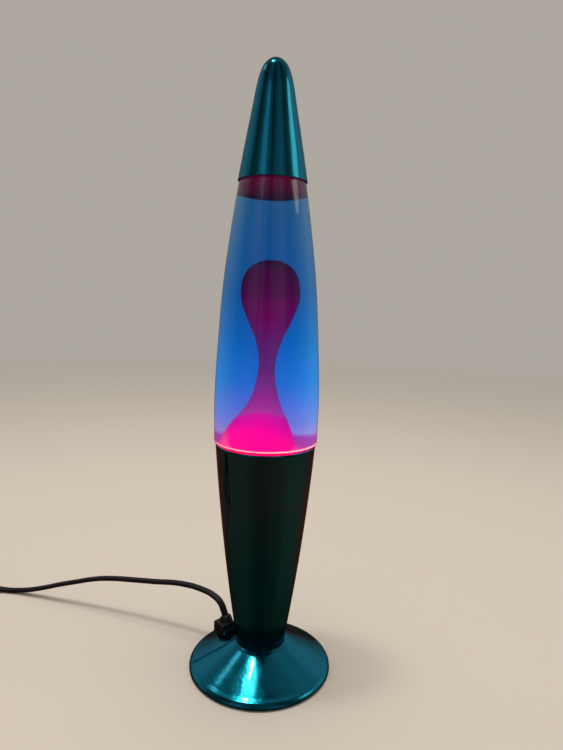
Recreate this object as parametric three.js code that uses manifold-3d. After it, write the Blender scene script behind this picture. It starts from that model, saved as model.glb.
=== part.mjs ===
// A lava lamp: spun aluminium foot, holder and cap, a glass bottle of liquid and wax that lifts out
// of the holder, a reflector bulb under it, and a flat two-core cord with a switch and a plug.
// Millimetres, +Z up. The origin is the middle of the foot, on the table.
import * as THREE from "three";
import { mergeVertices } from "three/addons/utils/BufferGeometryUtils.js";
import Module from "manifold-3d";

const wasm = await Module();
wasm.setup();

// ---------------------------------------------------------------- driving dimensions

// Clearances
const GAP = 0.3; // between two pieces that touch
const LOOSE = 0.9; // between the bottle and the inside of the holder
const TRAVEL_GAP = 0.5; // round a piece that turns or slides

// Sheet metal and foot
const METAL = 0.8; // wall of the spun foot, holder and cap
const FOOT_RADIUS = 50;
const FOOT_TOP = 19.7; // height of the flat seat in the middle of the foot
const FOOT_EDGE = 1; // the rim's edge stands this far off the table
const LIP_WIDTH = 4.4; // the rounded lip round the foot
const LIP_HEIGHT = 4;
const SEAT_MARGIN = 1; // the foot's seat is this much wider than the holder's floor
const PAD_RADIUS = 42;
const PAD_THICK = 1.2;
const COVER_THICK = 1;
const COVER_MARGIN = 1.6; // between the cover and the inside of the lip

// Holder
const NECK_RADIUS = 17; // holder at its floor
const RIM_RADIUS = 33.8; // holder at its rim
const RIM_HEIGHT = 162; // rim above the table
const HOLDER_BULGE = 1.6; // how far the tapered side swells at mid-height
const FLOOR_CORNER = 1.2; // rounding between the holder's floor and its side

// Bottle
const GLASS = 2.4; // wall
const BOTTLE_DEPTH = 28; // how far the bottle reaches down into the holder
const BOTTLE_CORNER = 7; // rounding round the bottle's bottom
const BOTTLE_OVERHANG = 0.9; // how far the glass above the step stands out past the holder's rim
const BOTTLE_BELLY = 0.35; // how much wider than that its widest part is
const BOTTLE_WIDEST = 28; // height of the widest part above the rim
const BOTTLE_HEIGHT = 193.6; // mouth above the rim
const NECK_GLASS_RADIUS = 13.3; // outside of the crown-cork neck
const NECK_LENGTH = 11.6;

// Cap
const CAP_REACH = 23.3; // the cap's edge, on the bottle's shoulder, below the mouth
const CAP_RADIUS = 22.4; // outside, at the edge
const CAP_HEIGHT = 75;
const CAP_SLOPE = 0.18; // how much the radius shrinks for each mm of height
const CAP_DOME = 19; // height of the rounded tip

// Crown cork
const CROWN_RADIUS = 15.9;
const CROWN_SKIRT = 6;
const CROWN_STEEL = 0.4;
const SEAL_THICK = 0.8;

// Wax, liquid and heating coil
const POOL_EDGE = -9; // where the pool leaves the glass, above the rim
const POOL_RADIUS = 20.1; // the wax at the rim's height
const WAX_NECK_RADIUS = 4.3;
const WAX_NECK_HEIGHT = 52;
const BLOB_RADIUS = 14.8;
const BLOB_HEIGHT = 98; // middle of the blob above the rim
const BLOB_TOP = 120.5;
const FLOAT_MIDDLE = 13.3; // lowest point of the floating wax below the cap's edge
const FLOAT_EDGE = 6.8; // where it meets the glass, below the cap's edge
const FLOAT_TOP = 5.7; // its flat top above the cap's edge
const WIRE_COIL_RADIUS = 21;
const WIRE_COIL_THICK = 1.6; // radius of the wound wire's outer shape

// Threaded tube and nuts (M10 x 1)
const TUBE_RADIUS = 5;
const TUBE_BORE = 4;
const TUBE_LENGTH = 22.8;
const NUT_FLATS = 14;
const NUT_HEIGHT = 4.5;
const WASHER_THICK = 0.7;
const WASHER_RADIUS = 9;

// Lampholder (E14)
const HOLDER_CAP_RADIUS = 12.5;
const HOLDER_CAP_HEIGHT = 13;
const HOLDER_BODY_HEIGHT = 25.7;
const HOLDER_WALL = 1.7;
const INSERT_HEIGHT = 4.8;
const SCREW_SHELL_RADIUS = 7.7;
const SCREW_SHELL_HEIGHT = 17.5;
const BRASS = 0.4; // sheet of the screw shell
const TERMINAL_OFFSET = 5.6;
const TERMINAL_RADIUS = 1.2;

// Bulb (R39, E14)
const BULB_RADIUS = 19.5;
const BULB_LENGTH = 65;
const BULB_WALL = 0.7;
const BULB_CAP_RADIUS = 6.9;
const BULB_CAP_HEIGHT = 15;

// Cord grip
const GRIP_X = -27;
const GRIP_Y = 13.3;
const GRIP_BLOCK = 10.4; // side of its square block
const GRIP_BLOCK_TOP = 22;
const GRIP_BLOCK_HEIGHT = 7.2;
const GRIP_COLLAR_LENGTH = 5.6;
const GRIP_COLLAR_RADIUS = 3.7;
const GRIP_COLLAR_X = 2; // the collar stands this far from the middle of the block
const GRIP_COLLAR_Y = 1;
const GRIP_LEAN = 25; // degrees that the collar leans towards the cord
const GRIP_HEADING = 137; // degrees from +X to the way the cord leaves
const GRIP_NECK_RADIUS = 5.3;
const GRIP_SHANK_RADIUS = 4;
const GRIP_SHANK_END = 6.8;
const GRIP_BORE = 2.2;
const LOCK_RADIUS = 6.2;

// Cord: a flat twin cord
const CORD_WIDTH = 5.2;
const CORD_THICK = 3.2;
const INNER_CORD_RADIUS = 1.5; // the cord without its sheath, inside the lamp
const LEAD_RADIUS = 0.8;
const COIL_X = -373;
const COIL_Y = 50.5;
const COIL_OUTER_TURN = 34; // centre line of the outermost turn
const COIL_INNER_TURN = 23.6;
const COIL_LAYERS = 4;
const TIE_THICK = 0.6;
const TIE_WIDTH = 9;

// Switch
const SWITCH_X = -289;
const SWITCH_Y = 84.5;
const SWITCH_LENGTH = 62;
const SWITCH_WIDTH = 26;
const SWITCH_HEIGHT = 20;
const SWITCH_WALL = 2;
const CASE_CHAMFER = 1.2;
const ROCKER_LENGTH = 17;
const ROCKER_WIDTH = 9;
const ROCKER_PIVOT_HEIGHT = 14.6;
const ROCKER_TILT = 8; // degrees either side of level
const PIVOT_RADIUS = 1.2;
const SCREW_RADIUS = 1.4;
const SCREW_HEAD_RADIUS = 2.7;
const SCREW_X = 22;
const SCREW_Y = 8;

// Plug: flat two-pin plug
const PLUG_X = -306; // where the cord enters it
const PLUG_SLEEVE = 12;
const PLUG_LENGTH = 37;
const PLUG_WIDTH = 35.3;
const PLUG_THICK = 13.7;
const PIN_SPACING = 18.6;
const PIN_RADIUS = 2;
const PIN_SLEEVE = 10;
const PIN_LENGTH = 19;
const PIN_SHANK = 1.2;

// Fineness of the round pieces
const WIDE = 24;
const NARROW = 16;

// ---------------------------------------------------------------- materials

function finish(color, roughness, metalness, opacity = 1) {
  const transparent = opacity < 1;
  return new THREE.MeshStandardMaterial({ color, roughness, metalness, opacity, transparent });
}

const tealLacquer = () => finish(0x0a7f88, 0.15, 1);
const clearGlass = () => finish(0xeaf6fb, 0.03, 0, 0.35);
const blueLiquid = () => finish(0x1c7fe0, 0.05, 0, 0.6);
const pinkWax = () => finish(0xff1495, 0.4, 0);
const darkWax = () => finish(0x7a0d45, 0.4, 0);
const blackPlastic = () => finish(0x101011, 0.45, 0);
const blackVinyl = () => finish(0x0c0c0d, 0.55, 0);
const paleInsulator = () => finish(0xe9e4d8, 0.5, 0);
const blackFoam = () => finish(0x18181a, 0.95, 0);
const zincSteel = () => finish(0xb9bcc0, 0.35, 1);
const brass = () => finish(0xc8a24a, 0.3, 1);
const copperWire = () => finish(0x3a66b8, 0.5, 0);
const frostedGlass = () => finish(0xf3f1ea, 0.35, 0, 0.7);
const tungsten = () => finish(0x6a6a70, 0.4, 1);

// ---------------------------------------------------------------- shaping tools

// A closed geometry turned so that its faces point outwards.
function facingOut(geometry) {
  const flat = geometry.index ? geometry.toNonIndexed() : geometry;
  const p = flat.getAttribute("position");
  const corner = [new THREE.Vector3(), new THREE.Vector3(), new THREE.Vector3()];
  let volume = 0;
  for (let i = 0; i < p.count; i += 3) {
    corner.forEach((c, k) => c.fromBufferAttribute(p, i + k));
    volume += corner[0].dot(corner[1].clone().cross(corner[2]));
  }
  if (volume > 0) return geometry;
  for (let i = 0; i < p.count; i += 3) {
    const [x, y, z] = [p.getX(i), p.getY(i), p.getZ(i)];
    p.setXYZ(i, p.getX(i + 1), p.getY(i + 1), p.getZ(i + 1));
    p.setXYZ(i + 1, x, y, z);
  }
  flat.computeVertexNormals();
  return flat;
}

// A geometry as a solid that can be cut and joined.
function solidFrom(geometry) {
  const bare = new THREE.BufferGeometry();
  const out = facingOut(geometry);
  bare.setAttribute("position", (out.index ? out.toNonIndexed() : out).getAttribute("position"));
  const merged = mergeVertices(bare, 1e-3);
  const vertProperties = merged.attributes.position.array;
  const triVerts = new Uint32Array(merged.index.array);
  return new wasm.Manifold(new wasm.Mesh({ numProp: 3, vertProperties, triVerts }));
}

function geometryFrom(solid) {
  const mesh = solid.getMesh();
  const geometry = new THREE.BufferGeometry();
  geometry.setAttribute("position", new THREE.BufferAttribute(new Float32Array(mesh.vertProperties), 3));
  geometry.setIndex(new THREE.BufferAttribute(new Uint32Array(mesh.triVerts), 1));
  return geometry;
}

function joined(...geometries) {
  return geometryFrom(geometries.map(solidFrom).reduce((a, b) => a.add(b)));
}

function cut(geometry, ...tools) {
  return geometryFrom(tools.map(solidFrom).reduce((a, b) => a.subtract(b), solidFrom(geometry)));
}

function common(a, b) {
  return geometryFrom(solidFrom(a).intersect(solidFrom(b)));
}

// Revolves an outline of [radius, height] points about the z axis.
function turned(outline, segments = WIDE) {
  const points = outline.map(([r, z]) => new THREE.Vector2(Math.max(r, 0), z));
  return facingOut(new THREE.LatheGeometry(points, segments).rotateX(Math.PI / 2));
}

// A tube wall, washer or hollow cylinder.
function ring(inner, outer, low, high, segments = NARROW) {
  return turned([[inner, low], [outer, low], [outer, high], [inner, high], [inner, low]], segments);
}

function disc(radius, low, high, segments = NARROW) {
  return turned([[0, low], [radius, low], [radius, high], [0, high]], segments);
}

// The outline moved sideways by a distance, to its left seen along the way it runs.
function offset(outline, distance) {
  return outline.map(([r, z], i) => {
    const before = outline[Math.max(i - 1, 0)];
    const after = outline[Math.min(i + 1, outline.length - 1)];
    const a = new THREE.Vector2(r - before[0], z - before[1]).normalize();
    const b = new THREE.Vector2(after[0] - r, after[1] - z).normalize();
    if (i === 0) a.copy(b);
    if (i === outline.length - 1) b.copy(a);
    const onAxis = r < 1e-6;
    if (onAxis) return [0, z + Math.sign(a.x + b.x) * distance];
    const scale = distance / (1 + a.dot(b));
    return [r - (a.y + b.y) * scale, z + (a.x + b.x) * scale];
  });
}

// A wall of even thickness behind an outline. It starts on the axis, or closes on itself.
function sheet(outline, thickness) {
  const wall = [...outline, ...offset(outline, thickness).reverse()];
  return outline[0][0] < 1e-6 ? wall : [...wall, outline[0]];
}

// Points along an arc from one angle to another, in degrees from the +r direction.
function arc(r, z, radius, from, to, steps = 4) {
  return Array.from({ length: steps + 1 }, (_, i) => {
    const angle = THREE.MathUtils.degToRad(from + ((to - from) * i) / steps);
    return [r + radius * Math.cos(angle), z + radius * Math.sin(angle)];
  });
}

// Points along a smooth curve through a few [radius, height] points.
function smooth(points, steps) {
  const curve = new THREE.SplineCurve(points.map(([r, z]) => new THREE.Vector2(r, z)));
  return curve.getPoints(steps).map((p) => [p.x, p.y]);
}

function bezier(start, lead, trail, end, steps) {
  const [a, b, c, d] = [start, lead, trail, end].map(([r, z]) => new THREE.Vector2(r, z));
  return new THREE.CubicBezierCurve(a, b, c, d).getPoints(steps).map((p) => [p.x, p.y]);
}

// A flat outline of [x, y] points raised from one height to another, with an optional chamfer.
function slab(points, low, high, chamfer = 0, holes = []) {
  const shape = new THREE.Shape(points.map(([x, y]) => new THREE.Vector2(x, y)));
  shape.holes = holes.map((hole) => new THREE.Path(hole.map(([x, y]) => new THREE.Vector2(x, y))));
  const geometry = new THREE.ExtrudeGeometry(shape, {
    depth: high - low - 2 * chamfer,
    bevelEnabled: chamfer > 0,
    bevelThickness: chamfer,
    bevelSize: chamfer,
    bevelOffset: -chamfer,
    bevelSegments: 1,
  });
  return geometry.translate(0, 0, low + chamfer);
}

function rectangle(length, width, corner = 0) {
  const [x, y] = [length / 2, width / 2];
  if (!corner) return [[-x, -y], [x, -y], [x, y], [-x, y]];
  const turns = [[x, -y, -90], [x, y, 0], [-x, y, 90], [-x, -y, 180]];
  return turns.flatMap(([cx, cy, from]) => {
    const [mx, my] = [cx - Math.sign(cx) * corner, cy - Math.sign(cy) * corner];
    return arc(mx, my, corner, from, from + 90, 3);
  });
}

function hexagon(flats) {
  return Array.from({ length: 6 }, (_, i) => {
    const angle = (i * Math.PI) / 3;
    return [(flats / Math.sqrt(3)) * Math.cos(angle), (flats / Math.sqrt(3)) * Math.sin(angle)];
  });
}

function circle(radius, segments = NARROW) {
  return arc(0, 0, radius, 0, 360, segments).slice(0, -1);
}

// A nut round the z axis.
function nut(low) {
  const hole = circle(TUBE_RADIUS + GAP).reverse();
  return slab(hexagon(NUT_FLATS), low, low + NUT_HEIGHT, 0, [hole]);
}

// A section of [thickness, width] points swept along a smooth curve through the route.
function swept(route, section, steps) {
  const path = new THREE.CatmullRomCurve3(route.map((p) => new THREE.Vector3(...p)), false, "centripetal");
  const shape = new THREE.Shape(section.map(([x, y]) => new THREE.Vector2(x, y)));
  return facingOut(new THREE.ExtrudeGeometry(shape, { steps, extrudePath: path }));
}

// ---------------------------------------------------------------- assembly

const lamp = new THREE.Group();

function add(name, geometry, material, [x, y, z] = [0, 0, 0], turn = 0) {
  const mesh = new THREE.Mesh(geometry, material);
  mesh.name = name;
  mesh.position.set(x, y, z);
  mesh.rotation.z = turn;
  lamp.add(mesh);
}

// ---------------------------------------------------------------- foot

// The foot's upper face, from its middle hole out to its edge.
const SEAT_RADIUS = NECK_RADIUS + SEAT_MARGIN;
const CONE_RADIUS = FOOT_RADIUS - LIP_WIDTH;
const CONE_EDGE = FOOT_EDGE + LIP_HEIGHT;
const CONE_SLOPE = (FOOT_TOP - CONE_EDGE) / (CONE_RADIUS - SEAT_RADIUS);
const footFace = [
  [TUBE_RADIUS + GAP, FOOT_TOP],
  [SEAT_RADIUS - 0.8, FOOT_TOP],
  [SEAT_RADIUS + 0.7, FOOT_TOP - 0.8 * CONE_SLOPE - 0.2],
  ...bezier(
    [CONE_RADIUS, CONE_EDGE],
    [CONE_RADIUS + LIP_WIDTH / 2, CONE_EDGE - (LIP_WIDTH / 2) * CONE_SLOPE],
    [FOOT_RADIUS, FOOT_EDGE + LIP_HEIGHT / 2],
    [FOOT_RADIUS, FOOT_EDGE],
    4,
  ),
];

// The space under a foot outline, down to the table.
function under(outline) {
  const last = outline[outline.length - 1];
  return turned([[0, outline[0][1]], ...outline, [last[0], -1], [0, -1]]);
}

const gripHole = disc(GRIP_SHANK_RADIUS + GAP, 0, FOOT_TOP + 5, 12).translate(GRIP_X, GRIP_Y, 0);
add("foot_shell", cut(turned(sheet(footFace, -METAL)), gripHole), tealLacquer());

const COVER_LOW = PAD_THICK + GAP;
const COVER_RADIUS = FOOT_RADIUS - METAL - COVER_MARGIN;
add("foot_pad", disc(PAD_RADIUS, 0, PAD_THICK, WIDE), blackFoam());
add("bottom_cover", disc(COVER_RADIUS, COVER_LOW, COVER_LOW + COVER_THICK, WIDE), blackPlastic());

// ---------------------------------------------------------------- holder

const HOLDER_FLOOR = FOOT_TOP + GAP;

// Radius of the holder's outside at a height.
function holderRadius(z) {
  const t = (z - HOLDER_FLOOR) / (RIM_HEIGHT - HOLDER_FLOOR);
  return NECK_RADIUS + (RIM_RADIUS - NECK_RADIUS) * t + HOLDER_BULGE * 4 * t * (1 - t);
}

const SIDE_STEPS = 6;
const holderSide = Array.from({ length: SIDE_STEPS + 1 }, (_, i) => {
  const z = HOLDER_FLOOR + FLOOR_CORNER + ((RIM_HEIGHT - HOLDER_FLOOR - FLOOR_CORNER) * i) / SIDE_STEPS;
  return [holderRadius(z), z];
});
const holderFace = [
  [TUBE_RADIUS + GAP, HOLDER_FLOOR],
  [NECK_RADIUS - FLOOR_CORNER, HOLDER_FLOOR],
  ...holderSide,
];
add("holder_cone", turned(sheet(holderFace, METAL)), tealLacquer());

// ---------------------------------------------------------------- threaded tube and nuts

const lowerWasherTop = FOOT_TOP - METAL - GAP;
const lowerNutTop = lowerWasherTop - WASHER_THICK - GAP;
const lockWasherLow = HOLDER_FLOOR + METAL + GAP;
const upperNutLow = lockWasherLow + WASHER_THICK + GAP;
const lampholderLow = upperNutLow + NUT_HEIGHT + GAP;
const tubeTop = lampholderLow + 6;
const washerBore = TUBE_RADIUS + GAP;
const washer = (low) => ring(washerBore, WASHER_RADIUS, low, low + WASHER_THICK);
add("lower_washer", washer(lowerWasherTop - WASHER_THICK), zincSteel());
add("lower_nut", nut(lowerNutTop - NUT_HEIGHT), zincSteel());
add("lock_washer", washer(lockWasherLow), zincSteel());
add("upper_nut", nut(upperNutLow), zincSteel());
add("centre_tube", ring(TUBE_BORE, TUBE_RADIUS, tubeTop - TUBE_LENGTH, tubeTop), zincSteel());

// ---------------------------------------------------------------- lampholder

const capInside = HOLDER_CAP_RADIUS - HOLDER_WALL;
const capTop = lampholderLow + HOLDER_CAP_HEIGHT;
const capFloor = lampholderLow + HOLDER_WALL;
add(
  "lampholder_cap",
  turned(
    [
      [washerBore, lampholderLow],
      [HOLDER_CAP_RADIUS - 1, lampholderLow],
      [HOLDER_CAP_RADIUS, lampholderLow + 1],
      [HOLDER_CAP_RADIUS, capTop],
      [capInside, capTop],
      [capInside, capFloor],
      [washerBore, capFloor],
      [washerBore, lampholderLow],
    ],
    NARROW,
  ),
  paleInsulator(),
);

const bodyLow = capTop + GAP;
const bodyTop = bodyLow + HOLDER_BODY_HEIGHT;
const insertTop = bodyLow + INSERT_HEIGHT;
const shellLow = insertTop + GAP;
const bodyBore = SCREW_SHELL_RADIUS + GAP;
add(
  "lampholder_body",
  turned(
    [
      [HOLDER_CAP_RADIUS, bodyLow],
      [HOLDER_CAP_RADIUS, bodyTop - 1],
      [HOLDER_CAP_RADIUS - 1, bodyTop],
      [bodyBore, bodyTop],
      [bodyBore, shellLow],
      [capInside, shellLow],
      [capInside, bodyLow],
      [HOLDER_CAP_RADIUS, bodyLow],
    ],
    NARROW,
  ),
  paleInsulator(),
);

const terminals = [-1, 1];
const terminalHoles = terminals.map((side) =>
  disc(TERMINAL_RADIUS + GAP, 0, insertTop - 1, 10).translate(side * TERMINAL_OFFSET, 0, 0),
);
add("lampholder_insert", cut(disc(capInside - GAP, bodyLow, insertTop), ...terminalHoles), paleInsulator());

const shellInside = SCREW_SHELL_RADIUS - BRASS;
const shellHole = 4;
add(
  "lampholder_screw_shell",
  turned(
    [
      [shellHole, shellLow],
      [SCREW_SHELL_RADIUS, shellLow],
      [SCREW_SHELL_RADIUS, shellLow + SCREW_SHELL_HEIGHT],
      [shellInside, shellLow + SCREW_SHELL_HEIGHT],
      [shellInside, shellLow + BRASS],
      [shellHole, shellLow + BRASS],
      [shellHole, shellLow],
    ],
    NARROW,
  ),
  brass(),
);

const contactTop = shellLow + 0.7;
add(
  "lampholder_contact",
  turned([[0, shellLow], [3, shellLow], [3, shellLow + BRASS], [1.5, contactTop], [0, contactTop]], 12),
  brass(),
);

const screwHeadTop = bodyLow - GAP;
terminals.forEach((side, i) => {
  const screw = turned(
    [
      [0, screwHeadTop - 2],
      [2.4, screwHeadTop - 2],
      [2.4, screwHeadTop],
      [TERMINAL_RADIUS, screwHeadTop],
      [TERMINAL_RADIUS, insertTop - 1 - GAP],
      [0, insertTop - 1 - GAP],
    ],
    10,
  );
  add(`terminal_screw_${i + 1}`, screw, brass(), [side * TERMINAL_OFFSET, 0, 0]);
});

// ---------------------------------------------------------------- bulb

const bulbLow = contactTop + GAP;
const bulbTop = bulbLow + BULB_LENGTH;
const insulatorLow = bulbLow + 1 + GAP;
const insulatorTop = insulatorLow + 3;
const screwCapLow = insulatorTop + GAP;
const screwCapTop = screwCapLow + BULB_CAP_HEIGHT;
const bulbNeck = BULB_CAP_RADIUS - BRASS - GAP;

const button = [[0, bulbLow], [1.6, bulbLow], [2.2, bulbLow + 1], [0, bulbLow + 1]];
add("bulb_contact", turned(button, 12), zincSteel());
add(
  "bulb_insulator",
  turned([[0, insulatorLow], [3, insulatorLow], [5.2, insulatorTop], [0, insulatorTop]], NARROW),
  blackPlastic(),
);
add(
  "bulb_screw_cap",
  turned(
    sheet(
      [
        [5, screwCapLow],
        [BULB_CAP_RADIUS, screwCapLow + 1.5],
        [BULB_CAP_RADIUS, screwCapTop],
      ],
      BRASS,
    ),
    NARROW,
  ),
  zincSteel(),
);
const bulbFace = [
  [0, bulbTop],
  [BULB_RADIUS * 0.55, bulbTop - 1.6],
  [BULB_RADIUS * 0.86, bulbTop - 5],
  [BULB_RADIUS, bulbTop - 11],
  [BULB_RADIUS - 1.4, bulbTop - 17],
  [BULB_RADIUS - 5.5, bulbTop - 25],
  [bulbNeck + 3, screwCapTop + 7],
  [bulbNeck + 0.6, screwCapTop + 2],
  [bulbNeck, screwCapTop],
  [bulbNeck, screwCapTop - 8],
];
add("bulb_glass", turned(sheet(bulbFace, -BULB_WALL), 20), frostedGlass());

const stemLow = screwCapTop - 6;
const stemTop = screwCapTop + 14;
add(
  "bulb_stem",
  turned([[0, stemLow], [4.6, stemLow], [2.4, stemLow + 6], [1.8, stemTop], [0, stemTop]], 12),
  clearGlass(),
);
const filamentHeight = stemTop + 9;
const filamentReach = 6;
const roundWire = (radius) => circle(radius, 8);
terminals.forEach((side, i) => {
  const route = [
    [side * 2.6, 0, stemTop - 4],
    [side * 3.2, 0, stemTop],
    [side * filamentReach, 0, filamentHeight - 1],
  ];
  add(`bulb_lead_${i + 1}`, swept(route, roundWire(0.35), 6), zincSteel());
});
const filamentRoute = [-1, -0.5, 0, 0.5, 1].map((t) => [
  t * (filamentReach + 0.4),
  0,
  filamentHeight + 2.4 * (1 - t * t),
]);
add("filament", swept(filamentRoute, roundWire(0.5), 12), tungsten());

// ---------------------------------------------------------------- bottle

const bottleFloor = RIM_HEIGHT - BOTTLE_DEPTH;
const stepHeight = RIM_HEIGHT + GAP;
const spigotRadius = (z) => holderRadius(z) - METAL - LOOSE;
const cornerHeight = bottleFloor + BOTTLE_CORNER;
const mouth = RIM_HEIGHT + BOTTLE_HEIGHT;
const neckLow = mouth - NECK_LENGTH;
const capSeat = mouth - CAP_REACH;
const capInnerRadius = CAP_RADIUS - METAL;
const above = (height) => RIM_HEIGHT + height;
const stepRadius = RIM_RADIUS + BOTTLE_OVERHANG;
const bellyRadius = stepRadius + BOTTLE_BELLY;

// The glass's shoulder: where the cap's edge rests it is as wide as the inside of the cap.
const bottleSide = smooth(
  [
    [stepRadius, stepHeight + 1.4],
    [bellyRadius, above(BOTTLE_WIDEST)],
    [bellyRadius - 1.45, above(63)],
    [bellyRadius - 3.6, above(95)],
    [bellyRadius - 6.85, above(125)],
    [bellyRadius - 11.05, above(155)],
    [capInnerRadius - GAP, capSeat],
  ],
  10,
);
const bottleFace = [
  [0, bottleFloor],
  ...arc(spigotRadius(cornerHeight) - BOTTLE_CORNER, cornerHeight, BOTTLE_CORNER, -90, 0, 3),
  [spigotRadius(RIM_HEIGHT), stepHeight],
  [stepRadius - 1, stepHeight],
  ...bottleSide,
  ...bezier(
    [capInnerRadius - GAP - 1.6, capSeat + 4],
    [capInnerRadius - 5, neckLow - 2],
    [NECK_GLASS_RADIUS, neckLow - 3],
    [NECK_GLASS_RADIUS, neckLow],
    3,
  ),
  [NECK_GLASS_RADIUS, mouth],
];
const inner = offset(bottleFace, GLASS);
add("glass_bottle", turned(sheet(bottleFace, GLASS)), clearGlass());

// Inside radius of the glass at a height, between the bottle's corner and its neck.
function insideRadius(z) {
  const wall = inner.slice(4, -1);
  const i = wall.findIndex(([, height]) => height >= z);
  const [[r0, z0], [r1, z1]] = [wall[i - 1], wall[i]];
  return r0 + ((r1 - r0) * (z - z0)) / (z1 - z0);
}

// Crown cork and its liner
const crownTop = mouth + GAP + SEAL_THICK + GAP + CROWN_STEEL;
const sealRadius = NECK_GLASS_RADIUS - 1.2;
add("crown_seal", disc(sealRadius, mouth + GAP, mouth + GAP + SEAL_THICK), paleInsulator());
add(
  "crown_cap",
  turned(
    sheet(
      [
        [0, crownTop],
        [NECK_GLASS_RADIUS - 0.6, crownTop],
        [NECK_GLASS_RADIUS + GAP + CROWN_STEEL, crownTop - 1.2],
        [CROWN_RADIUS, crownTop - CROWN_SKIRT],
      ],
      -CROWN_STEEL,
    ),
    NARROW,
  ),
  zincSteel(),
);

// ---------------------------------------------------------------- wax, coil and liquid

// The wax that has sunk: a pool on the bottle's floor, a narrow neck and the blob that rises from it.
const waxFloor = bottleFloor + GLASS + GAP;
const poolEdge = above(POOL_EDGE);
const coilGroove = WIRE_COIL_THICK + GAP;
const waxBase = [
  [0, waxFloor],
  [WIRE_COIL_RADIUS - coilGroove, waxFloor],
  [WIRE_COIL_RADIUS - coilGroove, waxFloor + 2 * coilGroove],
  [WIRE_COIL_RADIUS + coilGroove, waxFloor + 2 * coilGroove],
  [WIRE_COIL_RADIUS + coilGroove, waxFloor],
  [insideRadius(waxFloor + 7) - 4.5, waxFloor],
  [insideRadius(waxFloor + 6) - 0.8, waxFloor + 6],
  [insideRadius(poolEdge) - GAP, poolEdge],
];
const waxSide = [
  [insideRadius(poolEdge) - 2, poolEdge + 2],
  ...smooth(
    [
      [(insideRadius(poolEdge) + POOL_RADIUS) / 2, above(POOL_EDGE / 2)],
      [POOL_RADIUS, above(0)],
      [POOL_RADIUS - 3, above(9)],
      [WAX_NECK_RADIUS + 9.2, above(18.5)],
      [WAX_NECK_RADIUS + 3.3, above(31)],
      [WAX_NECK_RADIUS, above(WAX_NECK_HEIGHT)],
      [WAX_NECK_RADIUS + 3, above(71)],
      [BLOB_RADIUS, above(BLOB_HEIGHT)],
      [BLOB_RADIUS * 0.72, above(BLOB_TOP - 6)],
    ],
    14,
  ),
  [BLOB_RADIUS * 0.38, above(BLOB_TOP - 1.4)],
  [0, above(BLOB_TOP)],
];
const waxFace = [...waxBase, ...waxSide];
add("wax_column", turned(waxFace, NARROW), pinkWax());

const wireCoil = arc(WIRE_COIL_RADIUS, waxFloor + WIRE_COIL_THICK, WIRE_COIL_THICK, 0, 360, 6);
add("heating_coil", turned(wireCoil, NARROW), zincSteel());

const floatMiddle = capSeat - FLOAT_MIDDLE;
const floatEdge = capSeat - FLOAT_EDGE;
const floatTop = capSeat + FLOAT_TOP;
const floatFace = [
  [0, floatMiddle],
  [insideRadius(floatEdge) * 0.55, floatMiddle + 1.4],
  [insideRadius(floatEdge - 1) - 1.2, floatEdge - 1],
  [insideRadius(floatEdge + 1) - GAP, floatEdge + 1],
  [insideRadius(floatEdge + 6) - GAP, floatEdge + 6],
  [insideRadius(floatTop) - GAP - 0.4, floatTop],
  [0, floatTop],
];
add("wax_top", turned(floatFace, NARROW), darkWax());

// The liquid fills what is left between the glass and the two waxes.
const liquidLow = poolEdge + 2;
const liquidFace = [
  ...offset(waxSide, -GAP).reverse(),
  [insideRadius(liquidLow) - GAP, liquidLow],
  ...offset(bottleFace, GLASS + GAP).filter(([, z]) => z > liquidLow + 1 && z < floatEdge - 3),
  [insideRadius(floatEdge - 1) - GAP, floatEdge - 2],
  ...offset(floatFace.slice(0, 3), -GAP).reverse(),
];
add("lamp_liquid", turned(liquidFace), blueLiquid());

// ---------------------------------------------------------------- top cap

const capPeak = capSeat + CAP_HEIGHT;
const domeLow = capPeak - CAP_DOME;
const domeRadius = CAP_RADIUS - CAP_SLOPE * (domeLow - capSeat);
const capFace = [
  ...bezier(
    [0, capPeak],
    [domeRadius * 0.52, capPeak],
    [domeRadius - CAP_SLOPE * 10, domeLow + 10],
    [domeRadius, domeLow],
    6,
  ),
  [CAP_RADIUS - CAP_SLOPE * 25, capSeat + 25],
  [CAP_RADIUS, capSeat],
];
add("top_cap", turned(sheet(capFace, -METAL)), tealLacquer());

// ---------------------------------------------------------------- cord grip

const grip = [GRIP_X, GRIP_Y, 0];
const blockLow = GRIP_BLOCK_TOP - GRIP_BLOCK_HEIGHT;
const onGrip = (geometry) => geometry.translate(...grip);

// Its leaning collar, and the point and direction in which the cord leaves it.
const heading = THREE.MathUtils.degToRad(GRIP_HEADING);
const lean = THREE.MathUtils.degToRad(GRIP_LEAN);
const collarFoot = new THREE.Vector3(GRIP_X + GRIP_COLLAR_X, GRIP_Y + GRIP_COLLAR_Y, GRIP_BLOCK_TOP - 1);
const cordWay = new THREE.Vector3(
  Math.sin(lean) * Math.cos(heading),
  Math.sin(lean) * Math.sin(heading),
  Math.cos(lean),
);
const onCollar = (geometry) =>
  geometry.rotateY(lean).rotateZ(heading).translate(collarFoot.x, collarFoot.y, collarFoot.z);
const alongCord = (distance) => collarFoot.clone().addScaledVector(cordWay, distance).toArray();

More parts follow.
